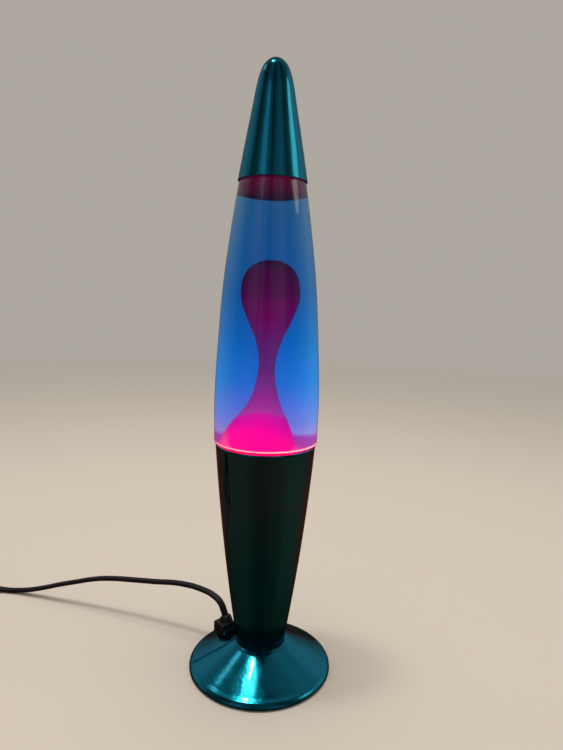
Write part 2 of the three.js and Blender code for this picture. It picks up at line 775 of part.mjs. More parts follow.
// Its block stands on a round neck, and both are cut to a saddle that follows the foot's slope.
const block = slab(rectangle(GRIP_BLOCK, GRIP_BLOCK), blockLow, GRIP_BLOCK_TOP, 0.8).rotateZ(Math.PI / 4);
const neck = disc(GRIP_NECK_RADIUS, GRIP_SHANK_END, blockLow + 0.5, 16);
const saddle = cut(joined(onGrip(block), onGrip(neck)), under(offset(footFace, GAP)));
const collar = turned(
  [
    [0, -2],
    [GRIP_COLLAR_RADIUS, -2],
    [GRIP_COLLAR_RADIUS, GRIP_COLLAR_LENGTH - 1.2],
    [GRIP_COLLAR_RADIUS - 0.8, GRIP_COLLAR_LENGTH],
    [0, GRIP_COLLAR_LENGTH],
  ],
  14,
);
const shank = disc(GRIP_SHANK_RADIUS, GRIP_SHANK_END, blockLow + 0.2, 16);
const boreTop = GRIP_BLOCK_TOP - 1;
const gripBore = disc(GRIP_BORE, 0, boreTop, 12);
const collarBore = disc(GRIP_BORE, -2, GRIP_COLLAR_LENGTH + 1, 12);
const clampHeight = blockLow + GRIP_BLOCK_HEIGHT / 2;
const clampScrew = (radius, from, to) =>
  disc(radius, from, to, 10)
    .rotateY(-Math.PI / 2)
    .rotateZ(-Math.PI / 4)
    .translate(GRIP_X, GRIP_Y, clampHeight);
add(
  "cord_gland",
  cut(
    joined(saddle, onCollar(collar), onGrip(shank)),
    onGrip(gripBore),
    onCollar(collarBore),
    clampScrew(SCREW_RADIUS + GAP, 0, GRIP_BLOCK),
  ),
  blackPlastic(),
);
add("gland_screw", clampScrew(SCREW_RADIUS, GRIP_BORE, GRIP_BLOCK / 2 + 0.6), zincSteel());
add(
  "gland_lock",
  cut(
    common(
      onGrip(disc(LOCK_RADIUS, GRIP_SHANK_END + 0.2, FOOT_TOP, 16)),
      under(offset(footFace, -METAL - GAP)),
    ),
    onGrip(disc(GRIP_SHANK_RADIUS + GAP, 0, FOOT_TOP + 1, 16)),
  ),
  blackPlastic(),
);

// ---------------------------------------------------------------- cord inside the lamp

const innerLow = COVER_LOW + COVER_THICK + GAP + INNER_CORD_RADIUS + 0.4;
const innerRoute = [
  [GRIP_X, GRIP_Y, boreTop - 2],
  [GRIP_X, GRIP_Y, GRIP_SHANK_END + 3],
  [GRIP_X + 0.3, GRIP_Y - 0.15, innerLow + 2],
  [GRIP_X + 2, GRIP_Y - 1, innerLow + 0.3],
  [GRIP_X + 5, GRIP_Y - 2.5, innerLow],
  [GRIP_X / 2, GRIP_Y / 2, innerLow],
  [-5, 2.5, innerLow + 0.2],
  [-1.4, 0.7, innerLow + 2],
  [0, 0, innerLow + 6],
  [0, 0, 20],
  [0, 0, tubeTop - 1],
];
add("inner_cord", swept(innerRoute, roundWire(INNER_CORD_RADIUS), 30), blackVinyl());

const leadEnd = screwHeadTop - 1;
["lead_live", "lead_neutral"].forEach((name, i) => {
  const side = terminals[i];
  const route = [
    [side * 1.1, 0, tubeTop - 1 + GAP + 0.2],
    [side * 1.6, 0.4, tubeTop + 1.5],
    [side * 4.4, 2.6, leadEnd - 2],
    [side * TERMINAL_OFFSET, 2.4 + LEAD_RADIUS + GAP + 0.2, leadEnd],
  ];
  add(name, swept(route, roundWire(LEAD_RADIUS), 8), copperWire());
});

// ---------------------------------------------------------------- free cord

// The cord's section, turned about its length so that its flat side lies on the table.
const cordOutline = [
  [CORD_THICK / 2, -CORD_WIDTH / 4],
  [CORD_THICK / 2, CORD_WIDTH / 4],
  [CORD_THICK / 4, CORD_WIDTH / 2],
  [-CORD_THICK / 4, CORD_WIDTH / 2],
  [-CORD_THICK / 2, CORD_WIDTH / 4],
  [-CORD_THICK / 2, -CORD_WIDTH / 4],
  [-CORD_THICK / 4, -CORD_WIDTH / 2],
  [CORD_THICK / 4, -CORD_WIDTH / 2],
];
function cordSection(degrees) {
  const turn = THREE.MathUtils.degToRad(degrees);
  const [c, s] = [Math.cos(turn), Math.sin(turn)];
  return cordOutline.map(([x, y]) => [x * c - y * s, x * s + y * c]);
}
const RUN_TWIST = 50.6;
const STRAIGHT_TWIST = 90;
const switchEntry = SWITCH_X + SWITCH_LENGTH / 2 + GAP;
const switchExit = SWITCH_X - SWITCH_LENGTH / 2 - GAP;
const entryHeight = SWITCH_HEIGHT / 2;
const runRoute = [
  alongCord(GRIP_COLLAR_LENGTH + GAP),
  alongCord(GRIP_COLLAR_LENGTH + 3.5),
  [-30.4, 19.4, 33.2],
  [-35.6, 24, 36],
  [-46, 30.4, 37.6],
  [-63.5, 38.4, 37.4],
  [-87, 47, 33.8],
  [-100.5, 52, 31.8],
  [-128, 60.5, 28],
  [-142, 65, 24.4],
  [-156.5, 69, 19.6],
  [-170.8, 73, 14.8],
  [-185.5, 77, 9.4],
  [-200, 80.5, 4.9],
  [-213, 83.2, 2.2],
  [-224, 84.3, 1.9],
  [-236, 84.5, 4.4],
  [-246, 84.5, 8.2],
  [-254, 84.5, 9.8],
  [switchEntry, SWITCH_Y, entryHeight],
];
add("cord_run", swept(runRoute, cordSection(RUN_TWIST), 36), blackVinyl());

// The coil lies on the table behind the switch, on its tie.
const coilLow = 2 * TIE_THICK;
const layer = CORD_WIDTH;
const coilHigh = coilLow + COIL_LAYERS * layer;
const coilOut = COIL_OUTER_TURN + CORD_THICK / 2 + GAP;
const coilIn = COIL_INNER_TURN - CORD_THICK / 2 - GAP;
const round = 1.5;
add(
  "cord_coil",
  turned([
    [coilIn, coilLow + round],
    [coilIn + round, coilLow],
    [coilOut - round, coilLow],
    [coilOut, coilLow + round],
    [coilOut, coilHigh - round],
    [coilOut - round, coilHigh],
    [coilIn + round, coilHigh],
    [coilIn, coilHigh - round],
    [coilIn, coilLow + round],
  ]),
  blackVinyl(),
  [COIL_X, COIL_Y, 0],
);

const linkEnd = COIL_X + Math.sqrt(coilOut ** 2 - (COIL_OUTER_TURN - CORD_WIDTH / 2) ** 2) + GAP;
const linkHeight = coilLow + layer / 2;
const linkRoute = [
  [switchExit, SWITCH_Y, entryHeight],
  [switchExit - 3, SWITCH_Y, entryHeight],
  [switchExit - 10, SWITCH_Y, entryHeight - 1.4],
  [(switchExit + linkEnd) / 2, SWITCH_Y, (entryHeight + linkHeight) / 2],
  [linkEnd + 10, SWITCH_Y, linkHeight + 0.6],
  [linkEnd, SWITCH_Y, linkHeight],
];
add("cord_link", swept(linkRoute, cordSection(STRAIGHT_TWIST), 6), blackVinyl());

const tailTurn = COIL_OUTER_TURN - CORD_WIDTH / 2;
const tailY = COIL_Y - tailTurn;
const tailStart = COIL_X + Math.sqrt(coilOut ** 2 - (tailTurn - CORD_WIDTH / 2) ** 2) + GAP;
const tailHeight = coilHigh - layer / 2;
const plugHeight = PLUG_THICK / 2;
const tailRoute = [
  [tailStart, tailY, tailHeight],
  [tailStart + 12, tailY, tailHeight - 2],
  [(tailStart + PLUG_X) / 2, tailY, (tailHeight + plugHeight) / 2],
  [PLUG_X - 12, tailY, plugHeight + 1.4],
  [PLUG_X - 3, tailY, plugHeight],
  [PLUG_X - GAP, tailY, plugHeight],
];
add("cord_tail", swept(tailRoute, cordSection(STRAIGHT_TWIST), 7), blackVinyl());

// A wire tie round the coil, opposite the lamp.
const tieIn = Math.sqrt(coilIn ** 2 - (TIE_WIDTH / 2) ** 2) - GAP;
const tieFrame = (margin) => [
  [-coilOut - GAP - margin, coilLow - GAP - margin],
  [-tieIn + margin, coilLow - GAP - margin],
  [-tieIn + margin, coilHigh + GAP + margin],
  [-coilOut - GAP - margin, coilHigh + GAP + margin],
];
const tie = slab(tieFrame(TIE_THICK), -TIE_WIDTH / 2, TIE_WIDTH / 2, 0, [tieFrame(0).reverse()]);
add("cord_tie", tie.rotateX(Math.PI / 2), blackPlastic(), [COIL_X, COIL_Y, 0]);

// ---------------------------------------------------------------- switch

const place = [SWITCH_X, SWITCH_Y, 0];
const seam = SWITCH_HEIGHT / 2;
const outside = rectangle(SWITCH_LENGTH, SWITCH_WIDTH, 6);
const inside = rectangle(SWITCH_LENGTH - 2 * SWITCH_WALL, SWITCH_WIDTH - 2 * SWITCH_WALL, 4);
const cordSlot = slab(rectangle(SWITCH_LENGTH + 10, CORD_WIDTH + 2 * TRAVEL_GAP), seam - 2.1, seam + 2.1);
const screwPlaces = [[SCREW_X, SCREW_Y], [-SCREW_X, -SCREW_Y]];
const post = (radius, low, high) =>
  screwPlaces.map(([x, y]) => disc(radius, low, high, 12).translate(x, y, 0));

const baseTop = seam - GAP / 2;
const tray = cut(
  slab(outside, 0, baseTop + CASE_CHAMFER, CASE_CHAMFER),
  slab(inside, SWITCH_WALL, seam + 2),
  slab(outside, baseTop, seam + 2),
);
add(
  "switch_base",
  cut(
    joined(tray, ...post(SCREW_HEAD_RADIUS + 0.9, SWITCH_WALL / 2, baseTop)),
    cordSlot,
    ...post(SCREW_HEAD_RADIUS + GAP, -1, 3),
    ...post(SCREW_RADIUS + GAP, 0, seam),
  ),
  blackPlastic(),
  place,
);

const coverLow = seam + GAP / 2;
const roof = SWITCH_HEIGHT - SWITCH_WALL;
const rockerHole = slab(
  rectangle(ROCKER_LENGTH + 2 * TRAVEL_GAP, ROCKER_WIDTH + 2 * TRAVEL_GAP),
  seam,
  SWITCH_HEIGHT + 1,
);
const bearingInside = ROCKER_WIDTH / 2 + TRAVEL_GAP;
const bearings = [-1, 1].map((side) =>
  slab(rectangle(6, 2), seam + 2, roof + 0.5).translate(0, side * (bearingInside + 1), 0),
);
const acrossPin = (radius, length) =>
  disc(radius, -length / 2, length / 2, 12).rotateX(Math.PI / 2).translate(0, 0, ROCKER_PIVOT_HEIGHT);
const hood = joined(
  cut(
    slab(outside, coverLow - CASE_CHAMFER, SWITCH_HEIGHT, CASE_CHAMFER),
    slab(inside, seam - 2, roof),
    slab(outside, seam - 2, coverLow),
  ),
  ...bearings,
  ...post(SCREW_HEAD_RADIUS + 0.9, coverLow, roof + 0.5),
);
add(
  "switch_cover",
  cut(
    hood,
    cordSlot,
    rockerHole,
    acrossPin(PIVOT_RADIUS + GAP, ROCKER_WIDTH + 8),
    ...post(SCREW_RADIUS + GAP, 0, roof - 1),
  ),
  blackPlastic(),
  place,
);

screwPlaces.forEach(([x, y], i) => {
  const screw = turned(
    [
      [0, 0.8],
      [SCREW_HEAD_RADIUS, 0.8],
      [SCREW_HEAD_RADIUS, 3 - GAP],
      [SCREW_RADIUS, 3 - GAP],
      [SCREW_RADIUS, roof - 1 - GAP],
      [0, roof - 1 - GAP],
    ],
    12,
  );
  add(`switch_screw_${i + 1}`, screw, zincSteel(), [SWITCH_X + x, SWITCH_Y + y, 0]);
});

// The rocker, pressed down at its lamp side: on.
const rockerSide = [
  [-ROCKER_LENGTH / 2 + 0.4, 1.4],
  [-ROCKER_LENGTH / 2 + 1.4, -1.2],
  [-3, -3],
  [3, -3],
  [ROCKER_LENGTH / 2 - 1.4, -1.2],
  [ROCKER_LENGTH / 2 - 0.4, 1.4],
  [ROCKER_LENGTH / 2 - 0.7, 6.6],
  [0, 4.8],
  [-ROCKER_LENGTH / 2 + 0.7, 6.6],
];
const rockerBlock = slab(rockerSide, -ROCKER_WIDTH / 2, ROCKER_WIDTH / 2, 0.4).rotateX(Math.PI / 2);
const rockerPin = disc(PIVOT_RADIUS, -ROCKER_WIDTH / 2 - 2, ROCKER_WIDTH / 2 + 2, 12).rotateX(Math.PI / 2);
const rocker = joined(rockerBlock, rockerPin).rotateY(THREE.MathUtils.degToRad(ROCKER_TILT));
add("switch_rocker", rocker, blackPlastic(), [SWITCH_X, SWITCH_Y, ROCKER_PIVOT_HEIGHT]);

// Brass contacts on the switch's floor, under the rocker.
const stripWidth = 4;
const strip = (side) => slab(side, -stripWidth / 2, stripWidth / 2).rotateX(Math.PI / 2);
const stripLow = SWITCH_WALL + GAP;
const fixedContact = [
  [5, stripLow],
  [14, stripLow],
  [14, stripLow + 0.6],
  [7, stripLow + 0.6],
  [7, 5],
  [5, 5],
];
const springBlade = [
  [-14, stripLow],
  [-9, stripLow],
  [-4, 5.6],
  [7, 5.4],
  [7, 6],
  [-4.3, 6.2],
  [-9.3, stripLow + 0.6],
  [-14, stripLow + 0.6],
];
add("switch_contact", strip(fixedContact), brass(), place);
add("switch_blade", strip(springBlade), brass(), place);

// ---------------------------------------------------------------- plug

const plugFront = PLUG_SLEEVE + PLUG_LENGTH;
const plugOutline = [
  [PLUG_SLEEVE - 1, -6],
  [PLUG_SLEEVE + 3, -7.5],
  [PLUG_SLEEVE + 19, -PLUG_WIDTH / 2],
  [plugFront, -PLUG_WIDTH / 2 + 1.2],
  [plugFront, PLUG_WIDTH / 2 - 1.2],
  [PLUG_SLEEVE + 19, PLUG_WIDTH / 2],
  [PLUG_SLEEVE + 3, 7.5],
  [PLUG_SLEEVE - 1, 6],
];
const along = (geometry) => geometry.rotateY(Math.PI / 2).translate(0, 0, plugHeight);
const sleeve = along(turned([[0, 0], [3.6, 0], [5.4, PLUG_SLEEVE + 2], [0, PLUG_SLEEVE + 2]], 14));
const pinSides = [-1, 1];
const onPin = (side, geometry) => along(geometry).translate(0, (side * PIN_SPACING) / 2, 0);
const pinSleeves = pinSides.map((side) =>
  onPin(side, disc(PIN_RADIUS - 0.1, plugFront - 1, plugFront + PIN_SLEEVE, 12)),
);
const shankStart = plugFront - 4;
const shankHoles = pinSides.map((side) =>
  onPin(side, disc(PIN_SHANK + GAP, shankStart, plugFront + PIN_SLEEVE + 1, 12)),
);
add(
  "plug_body",
  cut(joined(slab(plugOutline, 0, PLUG_THICK, 2.4), sleeve, ...pinSleeves), ...shankHoles),
  blackPlastic(),
  [PLUG_X, tailY, 0],
);
pinSides.forEach((side, i) => {
  const tip = plugFront + PIN_LENGTH;
  const pin = turned(
    [
      [0, shankStart + GAP],
      [PIN_SHANK, shankStart + GAP],
      [PIN_SHANK, plugFront + PIN_SLEEVE + GAP],
      [PIN_RADIUS, plugFront + PIN_SLEEVE + GAP],
      [PIN_RADIUS, tip - 1.2],
      [PIN_RADIUS * 0.5, tip],
      [0, tip],
    ],
    12,
  );
  add(`plug_pin_${i + 1}`, onPin(side, pin), brass(), [PLUG_X, tailY, 0]);
});

export default lamp;
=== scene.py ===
# A lava lamp and its finishes: a spun foot, holder and cap in teal lacquer, a glass bottle
# of blue liquid and glowing wax, the lamp parts inside, and the cord with its switch and plug.
# Metres, +Z up, with the origin at the middle of the foot. Outlines are written in millimetres.
import math

import bmesh
import bpy
from mathutils import Matrix, Vector
from mathutils.geometry import interpolate_bezier


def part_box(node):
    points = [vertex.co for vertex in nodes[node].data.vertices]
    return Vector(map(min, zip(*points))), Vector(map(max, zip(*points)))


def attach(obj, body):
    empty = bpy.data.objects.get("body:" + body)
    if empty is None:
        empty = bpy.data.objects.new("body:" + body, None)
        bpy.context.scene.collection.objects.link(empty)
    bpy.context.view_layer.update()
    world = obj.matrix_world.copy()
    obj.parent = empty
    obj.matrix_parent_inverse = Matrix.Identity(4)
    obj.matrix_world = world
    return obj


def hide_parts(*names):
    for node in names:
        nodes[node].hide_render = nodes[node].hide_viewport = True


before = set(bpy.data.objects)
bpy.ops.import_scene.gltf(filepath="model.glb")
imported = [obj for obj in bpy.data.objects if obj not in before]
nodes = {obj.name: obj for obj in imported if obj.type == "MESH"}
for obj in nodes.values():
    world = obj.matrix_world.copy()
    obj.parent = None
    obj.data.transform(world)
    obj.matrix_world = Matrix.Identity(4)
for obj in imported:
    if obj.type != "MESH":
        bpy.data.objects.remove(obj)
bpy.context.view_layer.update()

# ---------------------------------------------------------------- the view
# A camera 37 cm in front of the lamp, at the height of the rising blob of wax. It looks slightly
# down, and its frame is tipped a little to one side.

VIEW_PLACE = (0.00942, -0.37294, 0.25947)
VIEW_DOWN = 0.1356
VIEW_TIP = 0.0313
VIEW_LENS = 27.03

camera = bpy.data.objects.new("camera", bpy.data.cameras.new("camera"))
camera.data.lens = VIEW_LENS
camera.data.clip_start = 0.01
camera.matrix_world = (
    Matrix.Translation(VIEW_PLACE)
    @ Matrix.Rotation(math.pi / 2 - VIEW_DOWN, 4, "X")
    @ Matrix.Rotation(VIEW_TIP, 4, "Z")
)
bpy.context.scene.collection.objects.link(camera)
bpy.context.scene.camera = camera
bpy.context.scene.view_settings.view_transform = "Standard"

# ---------------------------------------------------------------- cord
# A flat twin cord in one soft vinyl sheath, 1.8 m long in all. The first length runs from the
# grip on the foot to the switch, and the second is stored in a coil and ends in the plug.

MM = 0.001
CORD_WIDTH = 5.2
CORD_THICK = 3.2
GROOVE = 0.45


def linear(colour):
    """The linear value of an sRGB colour such as #0a7f88."""
    parts = [int(colour[i : i + 2], 16) / 255 for i in (1, 3, 5)]
    return (*[c / 12.92 if c <= 0.04045 else ((c + 0.055) / 1.055) ** 2.4 for c in parts], 1)


def surface(name, values):
    """A material, its node tree and its shader, with the values that are the same all over it."""
    material = bpy.data.materials.new(name)
    material.use_nodes = True
    shader = material.node_tree.nodes["Principled BSDF"]
    for socket, value in values.items():
        shader.inputs[socket].default_value = value
    return material, material.node_tree, shader


def added(tree, kind, settings=None, values=None, links=None, stops=()):
    """Adds a node with its settings, socket values, incoming links and, on a ramp, its colour stops."""
    made = tree.nodes.new(kind)
    for key, value in (settings or {}).items():
        setattr(made, key, value)
    for socket, value in (values or {}).items():
        made.inputs[socket].default_value = value
    for socket, source in (links or {}).items():
        tree.links.new(source, made.inputs[socket])
    if stops:
        ramp = made.color_ramp.elements
        while len(ramp) < len(stops):
            ramp.new(0.5)
        for element, (position, colour) in zip(ramp, stops):
            element.position = position
            element.color = colour
    return made


def grey(value):
    return (value, value, value, 1)


# Soft vinyl: nearly black, satin, with a faint pebble that the extruder leaves and dull rubbed patches.
vinyl, tree, shader = surface("extruded vinyl", {"Base Color": linear("#0b0b0c"), "IOR": 1.53})
place = added(tree, "ShaderNodeTexCoord").outputs["Object"]
rubbed = added(tree, "ShaderNodeTexNoise", values={"Scale": 90.0, "Detail": 3.0}, links={"Vector": place})
tree.links.new(
    added(
        tree,
        "ShaderNodeValToRGB",
        links={"Fac": rubbed.outputs["Fac"]},
        stops=[(0.35, grey(0.34)), (0.7, grey(0.52))],
    ).outputs["Color"], shader.inputs["Roughness"]
)
pebble = added(tree, "ShaderNodeTexNoise", values={"Scale": 1400.0, "Detail": 2.0}, links={"Vector": place})
bump = added(
    tree,
    "ShaderNodeBump",
    values={"Strength": 0.25, "Distance": 0.0001},
    links={"Height": pebble.outputs["Fac"]},
)
tree.links.new(bump.outputs["Normal"], shader.inputs["Normal"])


def shown(name, mesh, body, material, smooth_under=35):
    """Puts a finished mesh in the scene as a piece of a body, smooth but for its sharper edges."""
    mesh.name = name
    mesh.materials.clear()
    mesh.materials.append(material)
    mesh.shade_smooth()
    mesh.set_sharp_from_angle(angle=math.radians(smooth_under))
    piece = bpy.data.objects.new(name, mesh)
    bpy.context.scene.collection.objects.link(piece)
    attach(piece, body)
    return piece


# The section: two round cores side by side, with a shallow groove between them.
core = CORD_THICK / 2
core_offset = CORD_WIDTH / 2 - core
half_section = [
    (core_offset + core * math.cos(math.radians(a)), core * math.sin(math.radians(a)))
    for a in range(-110, 111, 22)
]
section_line = [(0, -core + GROOVE), *half_section, (0, core - GROOVE)]
section_line += [(-x, z) for x, z in reversed(half_section)]
section_curve = bpy.data.curves.new("cord_section", "CURVE")
section_spline = section_curve.splines.new("POLY")
section_spline.points.add(len(section_line) - 1)
for point, (x, z) in zip(section_spline.points, section_line):
    point.co = (x * MM, z * MM, 0, 1)
section_spline.use_cyclic_u = True
section = bpy.data.objects.new("cord_section", section_curve)
bpy.context.scene.collection.objects.link(section)


def laid_cord(name, route, turns):
    """The mesh of a cord laid along points in millimetres, turned about its length, and its centre line."""
    curve = bpy.data.curves.new(name, "CURVE")
    curve.dimensions = "3D"
    curve.twist_mode = "Z_UP"
    curve.resolution_u = 5
    spline = curve.splines.new("BEZIER")
    spline.bezier_points.add(len(route) - 1)
    for knot, point, turn in zip(spline.bezier_points, route, turns):
        knot.co = Vector(point) * MM
        knot.handle_left_type = knot.handle_right_type = "AUTO"
        knot.tilt = math.radians(turn)
    laid = bpy.data.objects.new(name, curve)
    line = [vertex.co.copy() for vertex in bpy.data.meshes.new_from_object(laid).vertices]
    curve.bevel_mode = "OBJECT"
    curve.bevel_object = section
    curve.use_fill_caps = True
    bpy.context.scene.collection.objects.link(laid)
    mesh = bpy.data.meshes.new_from_object(laid.evaluated_get(bpy.context.evaluated_depsgraph_get()))
    bpy.data.objects.remove(laid)
    return mesh, line


run_route = [
    (-25.7, 15.1, 23.6),
    (-26.68, 16.0, 25.9),
    (-27.9, 17.15, 28.8),
    (-30.4, 19.4, 33.2),
    (-35.6, 24, 36),
    (-46, 30.4, 37.6),
    (-63.5, 38.4, 37.4),
    (-87, 47, 33.8),
    (-100.5, 52, 31.8),
    (-128, 60.5, 28),
    (-142, 65, 24.4),
    (-156.5, 69, 19.6),
    (-170.8, 73, 14.8),
    (-185.5, 77, 9.4),
    (-200, 80.5, 4.9),
    (-213, 83.2, 2.4),
    (-224, 84.3, 2.0),
    (-236, 84.5, 4.4),
    (-246, 84.5, 8.2),
    (-254, 84.5, 9.8),
    (-260, 84.5, 10),
    (-266, 84.5, 10),
]
run_mesh, run_line = laid_cord("cord_to_switch", run_route, [0] * len(run_route))
cord_to_switch = shown("cord_to_switch", run_mesh, "base", vinyl)
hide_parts("cord_run")

# The coil lies in four layers. Each layer winds in or out by a cord's width a turn.
COIL_MIDDLE = (-373, 50.5)
COIL_OUTER = 34
COIL_INNER = 23.6
COIL_LOW = 3.8
LAYER = 5.2
COIL_TURNS = 7.5
POINTS_A_TURN = 18
TURNS_A_LAYER = 2

stored_route = [(-312, 84.5, 10), (-320.3, 84.5, 10), (-328, 84.5, 9.4), (-342, 84.5, 7), (-357, 84.6, 4.6)]
stored_turns = [0, 0, 12, 45, 80]
for i in range(int(COIL_TURNS * POINTS_A_TURN) + 1):
    turn = i / POINTS_A_TURN
    in_layer = turn % TURNS_A_LAYER
    going_in = int(turn / TURNS_A_LAYER) % 2 == 0
    inward = in_layer / TURNS_A_LAYER if going_in else 1 - in_layer / TURNS_A_LAYER
    radius = COIL_OUTER - (COIL_OUTER - COIL_INNER) * inward
    climb = sum(min(max((turn - change) / 0.5 + 0.5, 0), 1) for change in (2, 4, 6))
    angle = math.pi / 2 + turn * 2 * math.pi
    stored_route.append(
        (
            COIL_MIDDLE[0] + radius * math.cos(angle),
            COIL_MIDDLE[1] + radius * math.sin(angle),
            COIL_LOW + LAYER * climb,
        )
    )
    stored_turns.append(90)
last = stored_route[-1]
stored_route += [
    (last[0] + 14, last[1] - 0.4, last[2] - 0.8),
    (-345, 19.1, 15.6),
    (-331, 19.1, 11),
    (-318, 19.1, 7.7),
    (-309, 19.1, 6.85),
    (-303, 19.1, 6.85),
]
stored_turns += [80, 45, 15, 0, 0, 0]
stored_mesh, stored_line = laid_cord("cord_to_plug", stored_route, stored_turns)
cord_to_plug = shown("cord_to_plug", stored_mesh, "base", vinyl)
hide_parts("cord_link", "cord_coil", "cord_tail")
bpy.data.objects.remove(section)

# A plastic tie holds the coil: one flat band round all its turns.
TIE_THICK = 0.6


def box_mesh(name, size, centre, round_by, steps=3, turned_by=0):
    """A block in millimetres with rounded edges, turned about its own upright axis in degrees."""
    shape = bmesh.new()
    bmesh.ops.create_cube(shape, size=MM)
    bmesh.ops.scale(shape, verts=shape.verts, vec=size)
    if round_by:
        bmesh.ops.bevel(
            shape,
            geom=shape.edges[:],
            offset=round_by * MM,
            segments=steps,
            affect="EDGES",
            profile=0.5,
            material=-1,
        )
    bmesh.ops.rotate(shape, verts=shape.verts, matrix=Matrix.Rotation(math.radians(turned_by), 3, "Z"))
    bmesh.ops.translate(shape, verts=shape.verts, vec=Vector(centre) * MM)
    return meshed(name, shape)


def meshed(name, shape):
    """Closes a bmesh's seams, turns its faces outwards and gives back its mesh."""
    bmesh.ops.remove_doubles(shape, verts=shape.verts, dist=1e-6)
    bmesh.ops.recalc_face_normals(shape, faces=shape.faces)
    mesh = bpy.data.meshes.new(name)
    shape.to_mesh(mesh)
    shape.free()
    return mesh


def combined(first, second, operation):
    """Joins two closed meshes, or cuts the second out of the first."""
    kept = bpy.data.objects.new("kept", first)
    tool = bpy.data.objects.new("tool", second)
    for each in (kept, tool):
        bpy.context.scene.collection.objects.link(each)
    change = kept.modifiers.new("change", "BOOLEAN")
    change.operation = operation
    change.solver = "EXACT"
    change.object = tool
    view = bpy.context.evaluated_depsgraph_get()
    mesh = bpy.data.meshes.new_from_object(kept.evaluated_get(view))
    bpy.data.objects.remove(kept)
    bpy.data.objects.remove(tool)
    return mesh


tie_low, tie_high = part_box("cord_tie")
tie_size = [side / MM for side in tie_high - tie_low]
tie_centre = [side / MM for side in (tie_low + tie_high) / 2]
tie_outer = box_mesh("tie", tie_size, tie_centre, 1.0)
tie_hole_size = (tie_size[0] - 2 * TIE_THICK, tie_size[1] + 4, tie_size[2] - 2 * TIE_THICK)
tie_mesh = combined(tie_outer, box_mesh("hole", tie_hole_size, tie_centre, 0), "DIFFERENCE")


# Moulded black plastic: satin, with the fine spark grain of its mould, a little duller in patches.
def moulded(name, colour, grain_mm, low, high):
    """Injection-moulded plastic with a spark grain of a size in millimetres, and its roughness range."""
    material, tree, shader = surface(name, {"Base Color": linear(colour), "IOR": 1.52})
    place = added(tree, "ShaderNodeTexCoord").outputs["Object"]
    patches = added(
        tree, "ShaderNodeTexNoise", values={"Scale": 60.0, "Detail": 4.0}, links={"Vector": place}
    )
    rough = added(
        tree,
        "ShaderNodeValToRGB",
        links={"Fac": patches.outputs["Fac"]},
        stops=[(0.3, grey(low)), (0.75, grey(high))],
    ).outputs["Color"]
    tree.links.new(rough, shader.inputs["Roughness"])
    grain = added(
        tree,
        "ShaderNodeTexVoronoi",
        values={"Scale": 1 / (grain_mm * MM)},
        links={"Vector": place},
    )
    bump = added(
        tree,
        "ShaderNodeBump",
        values={"Strength": 0.3, "Distance": 0.00006},
        links={"Height": grain.outputs["Distance"]},
    )
    tree.links.new(bump.outputs["Normal"], shader.inputs["Normal"])
    return material


black_plastic = moulded("moulded black plastic", "#0f0f10", 0.45, 0.32, 0.5)
cord_tie = shown("coil_tie", tie_mesh, "base", black_plastic)
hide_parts("cord_tie")

# ---------------------------------------------------------------- switch
# A rocker switch on the cord, in two moulded halves with a fine parting line, held by two screws
# from below. The rocker stands pressed at its lamp side: on.

SWITCH_PLACE = (-289, 84.5)
SWITCH_SIZE = (62, 26, 20)
SWITCH_CORNER = 6
SWITCH_WALL = 2
SWITCH_GAP = 0.15
SWITCH_EDGE = 2.2


def rounded_plate(name, size, corner, low, high, edge_low, edge_high, centre):
    """A plate in millimetres with round corners, its lower and upper edges rounded by their own radii."""
    shape = bmesh.new()
    x, y = size[0] / 2, size[1] / 2
    ways = ((-1, -1), (1, -1), (1, 1), (-1, 1))
    square = [shape.verts.new((right * x * MM, back * y * MM, low * MM)) for right, back in ways]
    floor = shape.faces.new(square)
    raised = bmesh.ops.extrude_face_region(shape, geom=[floor])["geom"]
    bmesh.ops.translate(
        shape,
        verts=[part for part in raised if isinstance(part, bmesh.types.BMVert)],
        vec=(0, 0, (high - low) * MM),
    )
    upright = [e for e in shape.edges if abs(e.verts[0].co.z - e.verts[1].co.z) > MM]
    bmesh.ops.bevel(
        shape, geom=upright, offset=corner * MM, segments=8, affect="EDGES", profile=0.5, material=-1
    )
    for height, amount in ((low, edge_low), (high, edge_high)):
        if amount:
            rim = [e for e in shape.edges if all(abs(v.co.z - height * MM) < 1e-6 for v in e.verts)]
            bmesh.ops.bevel(
                shape, geom=rim, offset=amount * MM, segments=5, affect="EDGES", profile=0.5, material=-1
            )
    bmesh.ops.translate(shape, verts=shape.verts, vec=(centre[0] * MM, centre[1] * MM, 0))
    return meshed(name, shape)


def round_bar(name, radius, start, end, sides=32):
    """A cylinder in millimetres between two points."""
    shape = bmesh.new()
    start, end = Vector(start) * MM, Vector(end) * MM
    bmesh.ops.create_cone(
        shape,
        cap_ends=True,
        segments=sides,
        radius1=radius * MM,
        radius2=radius * MM,
        depth=(end - start).length,
    )
    turn = (end - start).to_track_quat("Z", "Y").to_matrix().to_4x4()
    bmesh.ops.transform(shape, verts=shape.verts, matrix=Matrix.Translation((start + end) / 2) @ turn)
    return meshed(name, shape)


